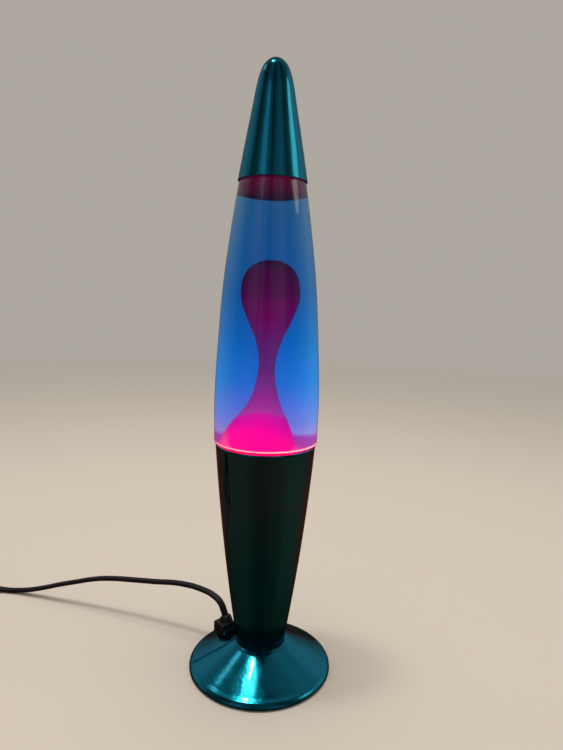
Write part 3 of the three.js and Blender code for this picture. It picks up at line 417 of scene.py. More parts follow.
sx, sy = SWITCH_PLACE
seam = SWITCH_SIZE[2] / 2
inside_size = (SWITCH_SIZE[0] - 2 * SWITCH_WALL, SWITCH_SIZE[1] - 2 * SWITCH_WALL)
for name, node, low, high, edges, hollow in (
    ("switch_lower_half", "switch_base", 0, seam - SWITCH_GAP, (1.2, 0.3), (SWITCH_WALL, seam + 5)),
    ("switch_upper_half", "switch_cover", seam + SWITCH_GAP, 20, (0.3, SWITCH_EDGE), (seam - 5, 18)),
):
    half = rounded_plate(name, SWITCH_SIZE, SWITCH_CORNER, low, high, *edges, SWITCH_PLACE)
    room = rounded_plate("room", inside_size, SWITCH_CORNER - SWITCH_WALL, *hollow, 0, 0, SWITCH_PLACE)
    half = combined(half, room, "DIFFERENCE")
    slot = box_mesh("slot", (70, CORD_WIDTH + 0.6, CORD_THICK + 0.6), (sx, sy, seam), 1.2)
    half = combined(half, slot, "DIFFERENCE")
    if node == "switch_cover":
        half = combined(half, box_mesh("window", (18, 10, 12), (sx, sy, 20), 0.8), "DIFFERENCE")
        for side in (-1, 1):
            for step in range(4):
                rib = (sx + side * (16 + 3 * step), sy, 20.2)
                half = combined(half, box_mesh("groove", (1.0, 16 - 2 * step, 1.6), rib, 0.3), "DIFFERENCE")
    else:
        for side in (-1, 1):
            hole = (sx + side * 22, sy + side * 8)
            half = combined(half, round_bar("hole", 3.0, (*hole, -1), (*hole, 3.2)), "DIFFERENCE")
    piece = shown(name, half, "base", black_plastic, 30)
    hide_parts(node)

ROCKER_PIVOT = 14.6
ROCKER_TILT = 8
shape = bmesh.new()
side_line = [(-8.1, 1.2), (-7.0, -1.4), (-3, -3), (3, -3), (7.0, -1.4), (8.1, 1.2), (7.8, 6.5)]
side_line += [(t, 4.9 + 1.6 * (t / 7.8) ** 2) for t in (6, 4, 2, 0, -2, -4, -6)]
side_line.append((-7.8, 6.5))
profile = [shape.verts.new((x * MM, -4.5 * MM, z * MM)) for x, z in side_line]
cheek = shape.faces.new(profile)
pushed = bmesh.ops.extrude_face_region(shape, geom=[cheek])["geom"]
bmesh.ops.translate(
    shape, verts=[part for part in pushed if isinstance(part, bmesh.types.BMVert)], vec=(0, 9 * MM, 0)
)
rims = [e for e in shape.edges if abs(e.verts[0].co.y - e.verts[1].co.y) < 1e-6]
bmesh.ops.bevel(shape, geom=rims, offset=0.5 * MM, segments=3, affect="EDGES", profile=0.5, material=-1)
rocker_mesh = meshed("rocker", shape)
rocker_mesh = combined(rocker_mesh, round_bar("pin", 1.2, (0, -6.5, 0), (0, 6.5, 0)), "UNION")
rocker_mesh.transform(
    Matrix.Translation((sx * MM, sy * MM, ROCKER_PIVOT * MM))
    @ Matrix.Rotation(math.radians(ROCKER_TILT), 4, "Y")
)
rocker_plastic = moulded("polished black plastic", "#141416", 0.3, 0.18, 0.28)
rocker = shown("switch_rocker_key", rocker_mesh, "rocker", rocker_plastic)
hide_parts("switch_rocker")


# Zinc-plated steel: bright grey with a faint bluish cast and a fine rolled grain.
def metal(name, colour, low, high, grain_mm, stretch=(1, 1, 1)):
    """Bare metal with a roughness range and a grain of a size in millimetres, drawn out along an axis."""
    material, tree, shader = surface(name, {"Base Color": linear(colour), "Metallic": 1.0})
    place = added(tree, "ShaderNodeTexCoord").outputs["Object"]
    mapped = added(tree, "ShaderNodeMapping", values={"Scale": stretch}, links={"Vector": place})
    grain = added(
        tree,
        "ShaderNodeTexNoise",
        values={"Scale": 1 / (grain_mm * MM), "Detail": 3.0},
        links={"Vector": mapped.outputs["Vector"]},
    )
    rough = added(
        tree,
        "ShaderNodeValToRGB",
        links={"Fac": grain.outputs["Fac"]},
        stops=[(0.3, grey(low)), (0.7, grey(high))],
    ).outputs["Color"]
    tree.links.new(rough, shader.inputs["Roughness"])
    bump = added(
        tree,
        "ShaderNodeBump",
        values={"Strength": 0.15, "Distance": 0.00004},
        links={"Height": grain.outputs["Fac"]},
    )
    tree.links.new(bump.outputs["Normal"], shader.inputs["Normal"])
    return material


zinc = metal("zinc-plated steel", "#b9bdc2", 0.24, 0.42, 0.8)
brass = metal("turned brass", "#c9a24b", 0.2, 0.36, 0.6)


def dressed(material, *names):
    """Gives CAD nodes that keep their own shape their finish."""
    for name in names:
        mesh = nodes[name].data
        mesh.materials.clear()
        mesh.materials.append(material)


dressed(brass, "switch_contact", "switch_blade")

for i, side in enumerate((1, -1)):
    x, y = sx + side * 22, sy + side * 8
    head = round_bar("screw", 2.7, (x, y, 0.8), (x, y, 2.7), 40)
    stem = round_bar("stem", 1.4, (x, y, 2.5), (x, y, 16.7), 24)
    screw_mesh = combined(head, stem, "UNION")
    for turned_by in (20, 110):
        cross = box_mesh("cross", (3.4, 0.8, 1.6), (x, y, 0.8), 0, turned_by=turned_by)
        screw_mesh = combined(screw_mesh, cross, "DIFFERENCE")
    screw = shown(f"switch_case_screw_{i + 1}", screw_mesh, "base", zinc)
    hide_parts(f"switch_screw_{i + 1}")

# ---------------------------------------------------------------- plug
# A flat two-pin plug moulded on to the cord: a waisted grip with grooves, a tapered sleeve round the
# cord, and two round pins with plastic sleeves and rounded tips.

PLUG_X = -306
PLUG_Y = 19.1
PLUG_MIDDLE = 6.85
PLUG_FRONT = 49
PIN_OFFSET = 9.3

shape = bmesh.new()
outline = [(11, -6.2), (16, -7.6), (24, -11.5), (31, -16), (36, -17.65), (PLUG_FRONT, -17.2)]
outline += [(x, -y) for x, y in reversed(outline)]
rim = [shape.verts.new(((PLUG_X + x) * MM, (PLUG_Y + y) * MM, 0)) for x, y in outline]
base = shape.faces.new(rim)
lifted = bmesh.ops.extrude_face_region(shape, geom=[base])["geom"]
bmesh.ops.translate(
    shape, verts=[part for part in lifted if isinstance(part, bmesh.types.BMVert)], vec=(0, 0, 13.7 * MM)
)
flat_rims = [e for e in shape.edges if abs(e.verts[0].co.z - e.verts[1].co.z) < 1e-6]
bmesh.ops.bevel(shape, geom=flat_rims, offset=3.4 * MM, segments=6, affect="EDGES", profile=0.5, material=-1)
plug_mesh = meshed("plug", shape)


def turned(outline, steps=96, closed=False):
    """Spins an outline of (radius, height) points in millimetres about the upright axis."""
    shape = bmesh.new()
    points = [shape.verts.new((r * MM, 0, z * MM)) for r, z in outline]
    lines = [shape.edges.new(pair) for pair in zip(points, points[1:])]
    if closed:
        lines.append(shape.edges.new((points[-1], points[0])))
    bmesh.ops.spin(
        shape,
        geom=points + lines,
        cent=(0, 0, 0),
        axis=(0, 0, 1),
        angle=2 * math.pi,
        steps=steps,
        use_merge=True,
    )
    return meshed("turned", shape)


def lying(mesh, x, y, z):
    """Lays an upright turned mesh along +X, with its foot at a place in millimetres."""
    mesh.transform(Matrix.Translation(Vector((x, y, z)) * MM) @ Matrix.Rotation(math.pi / 2, 4, "Y"))
    return mesh


sleeve_line = [(0, 0.2), (3.3, 0.2), (3.6, 0.8)]
for ring in range(4):
    low = 2 + 2.6 * ring
    sleeve_line += [(3.8 + 0.35 * ring, low), (3.2 + 0.35 * ring, low + 0.3), (3.2 + 0.4 * ring, low + 1.1)]
    sleeve_line += [(3.9 + 0.4 * ring, low + 1.4)]
sleeve_line += [(5.3, 12.6), (5.4, 14), (0, 14)]
plug_mesh = combined(plug_mesh, lying(turned(sleeve_line, 48), PLUG_X, PLUG_Y, PLUG_MIDDLE), "UNION")
for face in (-0.1, 13.8):
    for step in range(5):
        rib = (PLUG_X + 19 + 3.2 * step, PLUG_Y, face)
        length = 8 + 2.4 * step
        plug_mesh = combined(plug_mesh, box_mesh("rib", (1.1, length, 1.2), rib, 0.3), "DIFFERENCE")
boss_line = [(0, 48), (1.9, 48), (1.9, 58.8), (1.7, 59), (0, 59)]
for side in (-1, 1):
    boss = lying(turned(boss_line, 32), PLUG_X, PLUG_Y + side * PIN_OFFSET, PLUG_MIDDLE)
    plug_mesh = combined(plug_mesh, boss, "UNION")
plug = shown("plug_moulding", plug_mesh, "base", black_plastic, 40)
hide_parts("plug_body")

pin_line = [(0, 59.1), (1.95, 59.1), (2.0, 59.3), (2.0, 66.6)]
pin_line += [(1.8, 67.3), (1.3, 67.8), (0.6, 68), (0, 68)]
for i, side in enumerate((-1, 1)):
    pin_mesh = lying(turned(pin_line, 40), PLUG_X, PLUG_Y + side * PIN_OFFSET, PLUG_MIDDLE)
    pin = shown(f"plug_contact_pin_{i + 1}", pin_mesh, "base", brass)
    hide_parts(f"plug_pin_{i + 1}")

# ---------------------------------------------------------------- foot
# A disc of aluminium spun to a low cone, with a rounded lip. It is polished bright and sprayed
# with clear teal lacquer, so that it shines like tinted metal. A plate and a foam pad close it below.

SEAT = 19.7
SEAT_EDGE = 18
CONE_EDGE = 45.6
CONE_LOW = 5
METAL = 0.8


def flowing(points, fineness=6):
    """Points along a smooth line through a few (radius, height) points."""
    line = [Vector((*point, 0)) for point in points]
    line = [2 * line[0] - line[1], *line, 2 * line[-1] - line[-2]]
    smooth = []
    for before, start, end, after in zip(line, line[1:], line[2:], line[3:]):
        handles = (start + (end - before) / 6, end - (after - start) / 6)
        smooth += interpolate_bezier(start, *handles, end, fineness + 1)[:-1]
    return [(p.x, p.y) for p in smooth] + [tuple(points[-1])]


def beside(outline, distance):
    """The outline moved sideways, to its left seen along the way it runs."""
    moved = []
    for i, (r, z) in enumerate(outline):
        a = Vector(outline[max(i - 1, 0)])
        b = Vector(outline[min(i + 1, len(outline) - 1)])
        along = (b - a).normalized()
        moved.append((0 if r < 1e-6 else r - along.y * distance, z + along.x * distance))
    return moved


def sheet_wall(outline, thickness):
    """A closed outline of a wall behind a face, with a rounded edge at its end."""
    back = beside(outline, thickness)
    end, back_end = Vector(outline[-1]), Vector(back[-1])
    tip = (end + back_end) / 2
    out = (end - Vector(outline[-2])).normalized() * abs(thickness) * 0.45
    return [*outline, tuple(tip + out), *reversed(back)]


# Teal lacquer on bright spun aluminium: a mirror tinted blue-green, drawn into soft upright
# streaks by the spinning marks, under a hard clear gloss.
def lacquered(name, colour, streak_scale):
    """Clear coloured lacquer on spun metal. The streaks run along the taper, the marks round it."""
    material, tree, shader = surface(
        name,
        {
            "Base Color": linear(colour),
            "Metallic": 1.0,
            "Coat Weight": 0.4,
            "Coat Roughness": 0.03,
            "Coat IOR": 1.5,
            "Anisotropic": 0.35,
            "Specular Tint": (0.25, 0.4, 0.4, 1),
        },
    )
    place = added(tree, "ShaderNodeTexCoord").outputs["Object"]
    drawn_out = added(tree, "ShaderNodeMapping", values={"Scale": streak_scale}, links={"Vector": place})
    streaks = added(
        tree,
        "ShaderNodeTexNoise",
        values={"Scale": 70.0, "Detail": 4.0, "Roughness": 0.6},
        links={"Vector": drawn_out.outputs["Vector"]},
    )
    rough = added(
        tree,
        "ShaderNodeValToRGB",
        links={"Fac": streaks.outputs["Fac"]},
        stops=[(0.3, grey(0.1)), (0.7, grey(0.2))],
    ).outputs["Color"]
    tree.links.new(rough, shader.inputs["Roughness"])
    marks_axis = added(
        tree, "ShaderNodeMapping", values={"Scale": (0.02, 0.02, 1.0)}, links={"Vector": place}
    )
    marks = added(
        tree,
        "ShaderNodeTexNoise",
        values={"Scale": 1500.0, "Detail": 2.0},
        links={"Vector": marks_axis.outputs["Vector"]},
    )
    fine = added(
        tree,
        "ShaderNodeBump",
        values={"Strength": 0.08, "Distance": 0.00003},
        links={"Height": marks.outputs["Fac"]},
    )
    waves = added(
        tree,
        "ShaderNodeBump",
        values={"Strength": 0.55, "Distance": 0.0004},
        links={"Height": streaks.outputs["Fac"], "Normal": fine.outputs["Normal"]},
    )
    tree.links.new(waves.outputs["Normal"], shader.inputs["Normal"])
    around = added(tree, "ShaderNodeTangent", {"direction_type": "RADIAL", "axis": "Z"})
    tree.links.new(around.outputs["Tangent"], shader.inputs["Tangent"])
    return material


teal_lacquer = lacquered("teal lacquer on spun aluminium", "#0a8fa6", (1, 1, 0.04))

foot_line = [(5.3, SEAT), (16.6, SEAT), (17.4, SEAT - 0.05), (18.1, SEAT - 0.3), (18.9, SEAT - 0.7)]
slope = (SEAT - CONE_LOW) / (CONE_EDGE - SEAT_EDGE)
foot_line += [(r, SEAT - slope * (r - SEAT_EDGE)) for r in (20, 24, 28, 32, 36, 40, 43.5, 45)]
foot_line += [(46.2, 4.75), (47.3, 4.25), (48.3, 3.6), (49.1, 2.9), (49.6, 2.2), (49.75, 1.6), (49.8, 1.2)]
foot_mesh = turned(sheet_wall(flowing(foot_line, 3), -METAL), 192, closed=True)
foot = shown("spun_foot", foot_mesh, "base", teal_lacquer, 50)
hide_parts("foot_shell")

plate_low, plate_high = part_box("bottom_cover")
plate_radius = plate_high.x / MM
z0, z1 = plate_low.z / MM, plate_high.z / MM
plate_line = [(0, z0), (plate_radius - 0.4, z0), (plate_radius, z0 + 0.3)]
plate_line += [(plate_radius, z1 - 0.2), (plate_radius - 0.3, z1), (0, z1)]
plate = shown("foot_closing_plate", turned(plate_line, 128), "base", black_plastic)
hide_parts("bottom_cover")

# Closed-cell foam: matt black, with fine open pores where it was cut.
foam, tree, shader = surface(
    "closed-cell foam", {"Base Color": linear("#19191b"), "Roughness": 0.92, "IOR": 1.45}
)
place = added(tree, "ShaderNodeTexCoord").outputs["Object"]
pores = added(tree, "ShaderNodeTexVoronoi", values={"Scale": 1100.0}, links={"Vector": place})
bump = added(
    tree,
    "ShaderNodeBump",
    values={"Strength": 0.7, "Distance": 0.0002},
    links={"Height": pores.outputs["Distance"]},
)
tree.links.new(bump.outputs["Normal"], shader.inputs["Normal"])
pad_line = [(0, 0), (41.2, 0), (41.8, 0.25), (42, 0.6), (41.8, 1.0), (41.4, 1.2), (0, 1.2)]
pad = shown("foot_foam_pad", turned(pad_line, 128), "base", foam)
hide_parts("foot_pad")

# ---------------------------------------------------------------- holder
# A deep spun cup in the same lacquer, narrow at the foot and open at the top. The M10 tube and its
# nuts clamp its floor to the foot, and the lampholder stands on them.

HOLDER_FLOOR = 20
RIM = 162
NECK = 17
RIM_RADIUS = 33.8
BULGE = 1.6


def holder_radius(z):
    t = (z - HOLDER_FLOOR) / (RIM - HOLDER_FLOOR)
    return NECK + (RIM_RADIUS - NECK) * t + BULGE * 4 * t * (1 - t)


holder_line = [(5.3, HOLDER_FLOOR), (14, HOLDER_FLOOR), (15.6, 20.02), (16.5, 20.3), (17.0, 20.9)]
holder_line += [(holder_radius(z), z) for z in (21.6, 23, 30, 45, 60, 80, 100, 120, 140, 155, 161.7)]
holder_mesh = turned(sheet_wall(flowing(holder_line, 4), METAL), 192, closed=True)
holder = shown("spun_holder", holder_mesh, "base", teal_lacquer, 50)
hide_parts("holder_cone")

dressed(zinc, "lower_washer", "lower_nut", "lock_washer", "upper_nut", "centre_tube")

# ---------------------------------------------------------------- lampholder
# A small screw lampholder in two moulded parts of pale heat-proof resin, with a brass shell, a
# brass contact and two terminals.

resin = moulded("heat-proof resin", "#e8e2d4", 0.5, 0.3, 0.45)
dressed(resin, "lampholder_insert")
cap_low, cap_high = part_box("lampholder_cap")
body_low, body_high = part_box("lampholder_body")
outer = cap_high.x / MM
z0, z1 = cap_low.z / MM, cap_high.z / MM
cup_line = [(5.3, z0), (outer - 1.2, z0), (outer - 0.4, z0 + 0.3), (outer, z0 + 1.1), (outer, z1)]
cup_line += [(outer - 1.7, z1), (outer - 1.7, z0 + 1.7), (5.3, z0 + 1.7)]
lamp_cup = shown("lampholder_cup", turned(cup_line, 96, closed=True), "base", resin)
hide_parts("lampholder_cap")
z0, z1 = body_low.z / MM, body_high.z / MM
barrel_line = [(outer, z0)]
for rib in range(4):
    low = z0 + 2 + 3 * rib
    barrel_line += [(outer, low), (outer - 0.5, low + 0.4), (outer - 0.5, low + 1.6), (outer, low + 2)]
barrel_line += [(outer, z1 - 1), (outer - 0.3, z1 - 0.3), (outer - 1, z1), (8.4, z1), (8.0, z1 - 0.4)]
barrel_line += [(8.0, z0 + 5.1), (outer - 1.7, z0 + 5.1), (outer - 1.7, z0)]
barrel = shown("lampholder_barrel", turned(barrel_line, 96, closed=True), "base", resin)
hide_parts("lampholder_body")

# The lamp's screw thread: round waves of 2.8 mm pitch in thin sheet brass.
THREAD_PITCH = 2.8
THREAD_DEPTH = 0.35


def threaded(radius, low, high, thickness, lead_in):
    """A closed outline of thin sheet with a round thread, and points before it."""
    count = int((high - low) / THREAD_PITCH * 8)
    line = [
        (
            radius - THREAD_DEPTH + THREAD_DEPTH * math.cos(2 * math.pi * i / 8),
            low + i * THREAD_PITCH / 8,
        )
        for i in range(count + 1)
    ]
    line = [*lead_in, *line, (radius, high)]
    return [*line, *reversed(beside(line, thickness))]


shell_low, shell_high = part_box("lampholder_screw_shell")
z0, z1 = shell_low.z / MM, shell_high.z / MM
shell_line = threaded(7.7, z0 + 1.6, z1 - 0.2, 0.35, [(4, z0), (7, z0), (7.6, z0 + 0.6)])
shell = shown("lampholder_thread", turned(shell_line, 72, closed=True), "base", brass)
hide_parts("lampholder_screw_shell")
dressed(brass, "lampholder_contact", "terminal_screw_1", "terminal_screw_2")

# ---------------------------------------------------------------- bulb
# A small reflector bulb: blown glass with a mirror coat inside its sides and a frosted front, on a
# plated screw cap with a black insulator and a solder contact.

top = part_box("bulb_glass")[1].z / MM
cap_low, cap_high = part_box("bulb_screw_cap")
cap_top = cap_high.z / MM
bulb_line = flowing(
    [
        (6.2, cap_top - 8),
        (6.2, cap_top),
        (6.9, cap_top + 2),
        (9.2, cap_top + 7),
        (14.0, top - 25),
        (18.1, top - 17),
        (19.5, top - 11),
        (18.9, top - 7.6),
        (16.8, top - 5),
        (10.7, top - 1.6),
        (5, top - 0.3),
        (0, top),
    ],
    5,
)
bulb_wall = [*bulb_line, *reversed(beside(bulb_line, 0.7))]
bulb_mesh = turned(bulb_wall, 96)
frosted, tree, shader = surface(
    "mirrored and frosted glass", {"Base Color": linear("#eceae4"), "Roughness": 0.35, "IOR": 1.5}
)
place = added(tree, "ShaderNodeTexCoord").outputs["Object"]
height = added(tree, "ShaderNodeSeparateXYZ", links={"Vector": place}).outputs["Z"]
above_mirror = added(
    tree,
    "ShaderNodeMapRange",
    values={"From Min": (top - 10.5) * MM, "From Max": (top - 9.5) * MM, "To Min": 1.0, "To Max": 0.0},
    links={"Value": height},
)
tree.links.new(above_mirror.outputs["Result"], shader.inputs["Metallic"])
frost = added(tree, "ShaderNodeTexNoise", values={"Scale": 900.0, "Detail": 2.0}, links={"Vector": place})
bump = added(
    tree,
    "ShaderNodeBump",
    values={"Strength": 0.2, "Distance": 0.00005},
    links={"Height": frost.outputs["Fac"]},
)
tree.links.new(bump.outputs["Normal"], shader.inputs["Normal"])
glow = added(
    tree,
    "ShaderNodeValToRGB",
    links={"Fac": above_mirror.outputs["Result"]},
    stops=[(0.0, linear("#ffd9a0")), (1.0, grey(0))],
).outputs["Color"]
tree.links.new(glow, shader.inputs["Emission Color"])
shader.inputs["Emission Strength"].default_value = 2.5
bulb = shown("reflector_bulb", bulb_mesh, "bulb", frosted, 60)
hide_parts("bulb_glass")

z0, z1 = cap_low.z / MM, cap_high.z / MM
cap_line = threaded(6.9, z0 + 2.2, z1 - 1.4, 0.35, [(5, z0), (6.2, z0 + 0.8), (6.8, z0 + 1.5)])
screw_cap = shown("bulb_thread", turned(cap_line, 72, closed=True), "bulb", zinc)
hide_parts("bulb_screw_cap")
dressed(zinc, "bulb_contact", "bulb_lead_1", "bulb_lead_2")
dressed(black_plastic, "bulb_insulator")


def flame_worked(tree, shader, ripple_mm, depth_mm):
    """Clear glass that was shaped hot isn't quite even: long soft ripples bend what is seen through it."""
    place = added(tree, "ShaderNodeTexCoord").outputs["Object"]
    ripple = added(
        tree,
        "ShaderNodeTexNoise",
        values={"Scale": 1000 / ripple_mm, "Detail": 1.0},
        links={"Vector": place},
    )
    bump = added(
        tree,
        "ShaderNodeBump",
        values={"Strength": 0.3, "Distance": depth_mm * MM},
        links={"Height": ripple.outputs["Fac"]},
    )
    tree.links.new(bump.outputs["Normal"], shader.inputs["Normal"])


stem_glass, tree, shader = surface(
    "clear glass stem",
    {"Base Color": linear("#f4f8f8"), "Roughness": 0.05, "IOR": 1.5, "Transmission Weight": 1.0},
)
flame_worked(tree, shader, 3, 0.2)
dressed(stem_glass, "bulb_stem")
tungsten, tree, shader = surface(
    "glowing tungsten",
    {
        "Base Color": linear("#6a6a70"),
        "Metallic": 1.0,
        "Emission Color": linear("#ffb765"),
        "Emission Strength": 6.0,
    },
)
place = added(tree, "ShaderNodeTexCoord").outputs["Object"]
windings = added(tree, "ShaderNodeTexWave", values={"Scale": 900.0}, links={"Vector": place})
tree.links.new(
    added(
        tree,
        "ShaderNodeValToRGB",
        links={"Fac": windings.outputs["Fac"]},
        stops=[(0.2, grey(0.3)), (0.8, grey(0.6))],
    ).outputs["Color"], shader.inputs["Roughness"]
)
dressed(tungsten, "filament")

# ---------------------------------------------------------------- bottle
# Blown clear glass, widest just above the holder. A step near its bottom rests on the holder's
# rim, and its neck is closed by a crimped crown cork that the top cap hides.

GLASS = 2.4
BOTTLE_FLOOR = 134
BOTTLE_CORNER = 7
MOUTH = 355.6
SPIGOT_GAP = 1.7

corner_top = BOTTLE_FLOOR + BOTTLE_CORNER
flat = holder_radius(corner_top) - SPIGOT_GAP - BOTTLE_CORNER
bottle_line = [(0, BOTTLE_FLOOR + 1.6), (12, BOTTLE_FLOOR + 1.2), (20, BOTTLE_FLOOR + 0.3)]
bottle_line.append((flat, BOTTLE_FLOOR))
for angle in (18, 36, 54, 72, 90):
    way = math.radians(angle)
    bottle_line.append((flat + BOTTLE_CORNER * math.sin(way), corner_top - BOTTLE_CORNER * math.cos(way)))
bottle_line += [(holder_radius(z) - SPIGOT_GAP, z) for z in (147, 154, 160.5)]
bottle_line += [(32.25, 161.9), (33.0, 162.35), (34.0, 162.5), (34.5, 162.95), (34.72, 163.8)]
side_line = flowing(
    [
        (34.75, 166),
        (34.9, 176),
        (35.05, 189),
        (34.65, 204),
        (33.85, 220),
        (32.85, 237),
        (31.45, 257),
        (29.5, 277),
        (26.9, 297),
        (24.0, 317),
        (21.3, 332.4),
        (18.9, 338),
        (15.2, 341),
        (13.6, 344),
        (13.3, 348),
    ],
    6,
)
outer_line = bottle_line + side_line
inner_line = beside(outer_line, GLASS)
lip_line = [(13.3, 351), (13.3, 354.6), (12.7, MOUTH), (11.4, MOUTH), (10.9, 355.0)]
glass_line = [*outer_line, *lip_line, *reversed(inner_line)]
bottle_mesh = turned(glass_line, 192)
glass, tree, shader = surface(
    "blown clear glass",
    {"Base Color": linear("#f6fbfb"), "Roughness": 0.0, "IOR": 1.5, "Transmission Weight": 1.0},
)
# Painted light: the glass is coloured pink below the step above the holder's rim, standing for the wax's
# light that runs through the glass and leaves it there.
place = added(tree, "ShaderNodeTexCoord").outputs["Object"]
height = added(tree, "ShaderNodeSeparateXYZ", links={"Vector": place}).outputs["Z"]
step = added(
    tree, "ShaderNodeMapRange", values={"From Min": 0.1632, "From Max": 0.1655}, links={"Value": height}
)
painted_wax_light = added(
    tree,
    "ShaderNodeValToRGB",
    links={"Fac": step.outputs["Result"]},
    stops=[(0.0, (1.0, 0.05, 0.4, 1)), (1.0, linear("#f6fbfb"))],
).outputs["Color"]
tree.links.new(painted_wax_light, shader.inputs["Base Color"])
flame_worked(tree, shader, 45, 0.5)
bottle = shown("blown_bottle", bottle_mesh, "bottle", glass, 50)
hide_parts("glass_bottle")

# Crown cork: a disc of plated steel crimped into 21 flutes, with its pale liner pressed on the mouth.
FLUTES = 21
crown_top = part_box("crown_cap")[1].z / MM
crown_line = [(0, crown_top), (11, crown_top), (12.4, crown_top - 0.15), (13.4, crown_top - 0.7)]
crown_line += [(13.9, crown_top - 1.5), (14.2, crown_top - 2.6), (14.7, crown_top - 4)]
crown_line += [(15.3, crown_top - 5.2), (15.6, crown_top - 5.9)]
crown_mesh = turned([*crown_line, *reversed(beside(crown_line, -0.3))], FLUTES * 8)
for vertex in crown_mesh.vertices:
    x, y, z = vertex.co
    reach = min(max((crown_top * MM - z) / (6 * MM), 0), 1)
    angle = math.atan2(y, x)
    swell = 1 + 0.022 * reach * math.cos(FLUTES * angle) - 0.012 * reach
    vertex.co.x = x * swell
    vertex.co.y = y * swell
crown = shown("crown_cork", crown_mesh, "bottle", zinc, 60)
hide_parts("crown_cap")
liner = moulded("soft liner", "#dcd8cc", 0.6, 0.5, 0.65)
dressed(liner, "crown_seal")

# ---------------------------------------------------------------- wax and liquid
# Melted paraffin wax, dyed pink. Its glow is painted light, an emission that is bright where the bulb shines
# up through it and darker as it rises away. Blue water surrounds it. A wound wire ring on the bottle's floor
# helps the wax to merge.

WAX_LOW = 136.9


def aside(mesh, places):
    """Leans a turned mesh to the side by the distances given at heights, in millimetres."""
    for vertex in mesh.vertices:
        z = vertex.co.z / MM
        for (z0, x0), (z1, x1) in zip(places, places[1:]):
            if z0 <= z <= z1:
                t = (z - z0) / (z1 - z0)
                vertex.co.x += (x0 + (x1 - x0) * t * t * (3 - 2 * t)) * MM
                break
    return mesh


wax_line = [(0, WAX_LOW), (20, WAX_LOW), (23.2, 137.3), (26, 139.2), (27.3, 142), (28.2, 147), (28.8, 152)]
wax_line += flowing(
    [
        (25.6, 155),
        (22.0, 158.5),
        (19.2, 163),
        (17.1, 170),
        (13.6, 179),
        (10.0, 186),
        (7.2, 193.5),
        (5.3, 202),
        (4.2, 213),
        (4.7, 222),
        (7.1, 233),
        (10.9, 244),
        (13.9, 254),
        (14.7, 262),
        (13.6, 271),
        (10.6, 277.5),
        (5.8, 281.2),
        (2.5, 282.2),
        (0, 282.4),
    ],
    5,
)
wax_lean = [(130, 0), (153, -0.6), (164, -3.9), (200, -0.8), (240, 0.4), (290, 0.5)]
wax_mesh = aside(turned(wax_line, 128), wax_lean)
wax, tree, shader = surface(
    "melted pink wax", {"Base Color": linear("#8c0a4a"), "Roughness": 0.4, "IOR": 1.08}
)
place = added(tree, "ShaderNodeTexCoord").outputs["Object"]
height = added(tree, "ShaderNodeSeparateXYZ", links={"Vector": place}).outputs["Z"]
# Painted light: a dome of wax right above the bulb glows as if lit by its beam, with a soft but clear edge.
from_beam = added(
    tree,
    "ShaderNodeMapping",
    values={"Location": (0.0023, 0, -0.1676), "Scale": (1, 0.35, 1)},
    links={"Vector": place},
)
dome = added(tree, "ShaderNodeVectorMath", {"operation": "LENGTH"}, links={0: from_beam.outputs["Vector"]})
beam = added(
    tree,
    "ShaderNodeMapRange",
    {"interpolation_type": "SMOOTHSTEP"},
    values={"From Min": 0.0172, "From Max": 0.0196, "To Min": 1.0, "To Max": 0.0},
    links={"Value": dome.outputs["Value"]},
)
# Painted light: the glow fades as the wax rises away from the bulb.
climb = added(
    tree,
    "ShaderNodeMapRange",
    values={"From Min": 0.160, "From Max": 0.285},
    links={"Value": height},
)
painted_fading_glow = added(
    tree,
    "ShaderNodeValToRGB",
    links={"Fac": climb.outputs["Result"]},
    stops=[
        (0.0, (2.6, 0.12, 0.34, 1)),
        (0.18, (2.6, 0.09, 0.26, 1)),
        (0.28, (2.6, 0.02, 0.14, 1)),
        (0.42, (1.3, 0.0, 0.06, 1)),
        (0.66, (0.72, 0.0, 0.04, 1)),
        (0.82, (0.22, 0.0, 0.02, 1)),
        (1.0, (0.12, 0.0, 0.01, 1)),
    ],
).outputs["Color"]
painted_wax_glow = added(
    tree,
    "ShaderNodeMix",
    {"data_type": "RGBA"},
    links={"Factor": beam.outputs["Result"], "A": painted_fading_glow},
)
painted_wax_glow.inputs["B"].default_value = (4.2, 0.0, 0.28, 1)
tree.links.new(painted_wax_glow.outputs["Result"], shader.inputs["Emission Color"])
shader.inputs["Emission Strength"].default_value = 1.0
wax_column = shown("rising_wax", wax_mesh, "bottle", wax, 180)
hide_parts("wax_column")

float_line = [(0, 319.2), (6, 319.5), (11.5, 320.7), (16, 322.7), (18.9, 325.0), (19.4, 327.5)]
float_line = [*flowing(float_line, 4), (18.9, 330.5), (17.2, 335), (16.2, 338), (0, 338)]
# Painted shade and light: the same wax as the column, given a darker colour and a faint glow that is
# brighter on its top, since it floats far above the bulb.
dimmed_wax, tree, shader = surface(
    "pink wax painted dim",
    {"Base Color": linear("#5c0832"), "Roughness": 0.4, "IOR": 1.08, "Emission Strength": 1.0},
)
place = added(tree, "ShaderNodeTexCoord").outputs["Object"]
height = added(tree, "ShaderNodeSeparateXYZ", links={"Vector": place}).outputs["Z"]
painted_glow_height = added(
    tree, "ShaderNodeMapRange", values={"From Min": 0.318, "From Max": 0.332}, links={"Value": height}
)
tree.links.new(
    added(
        tree,
        "ShaderNodeValToRGB",
        links={"Fac": painted_glow_height.outputs["Result"]},
        stops=[(0.0, (0.04, 0.0, 0.012, 1)), (1.0, (0.07, 0.0, 0.02, 1))],
    ).outputs["Color"],
    shader.inputs["Emission Color"],
)
wax_float = shown("floating_wax", turned(float_line, 128), "bottle", dimmed_wax, 60)
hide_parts("wax_top")

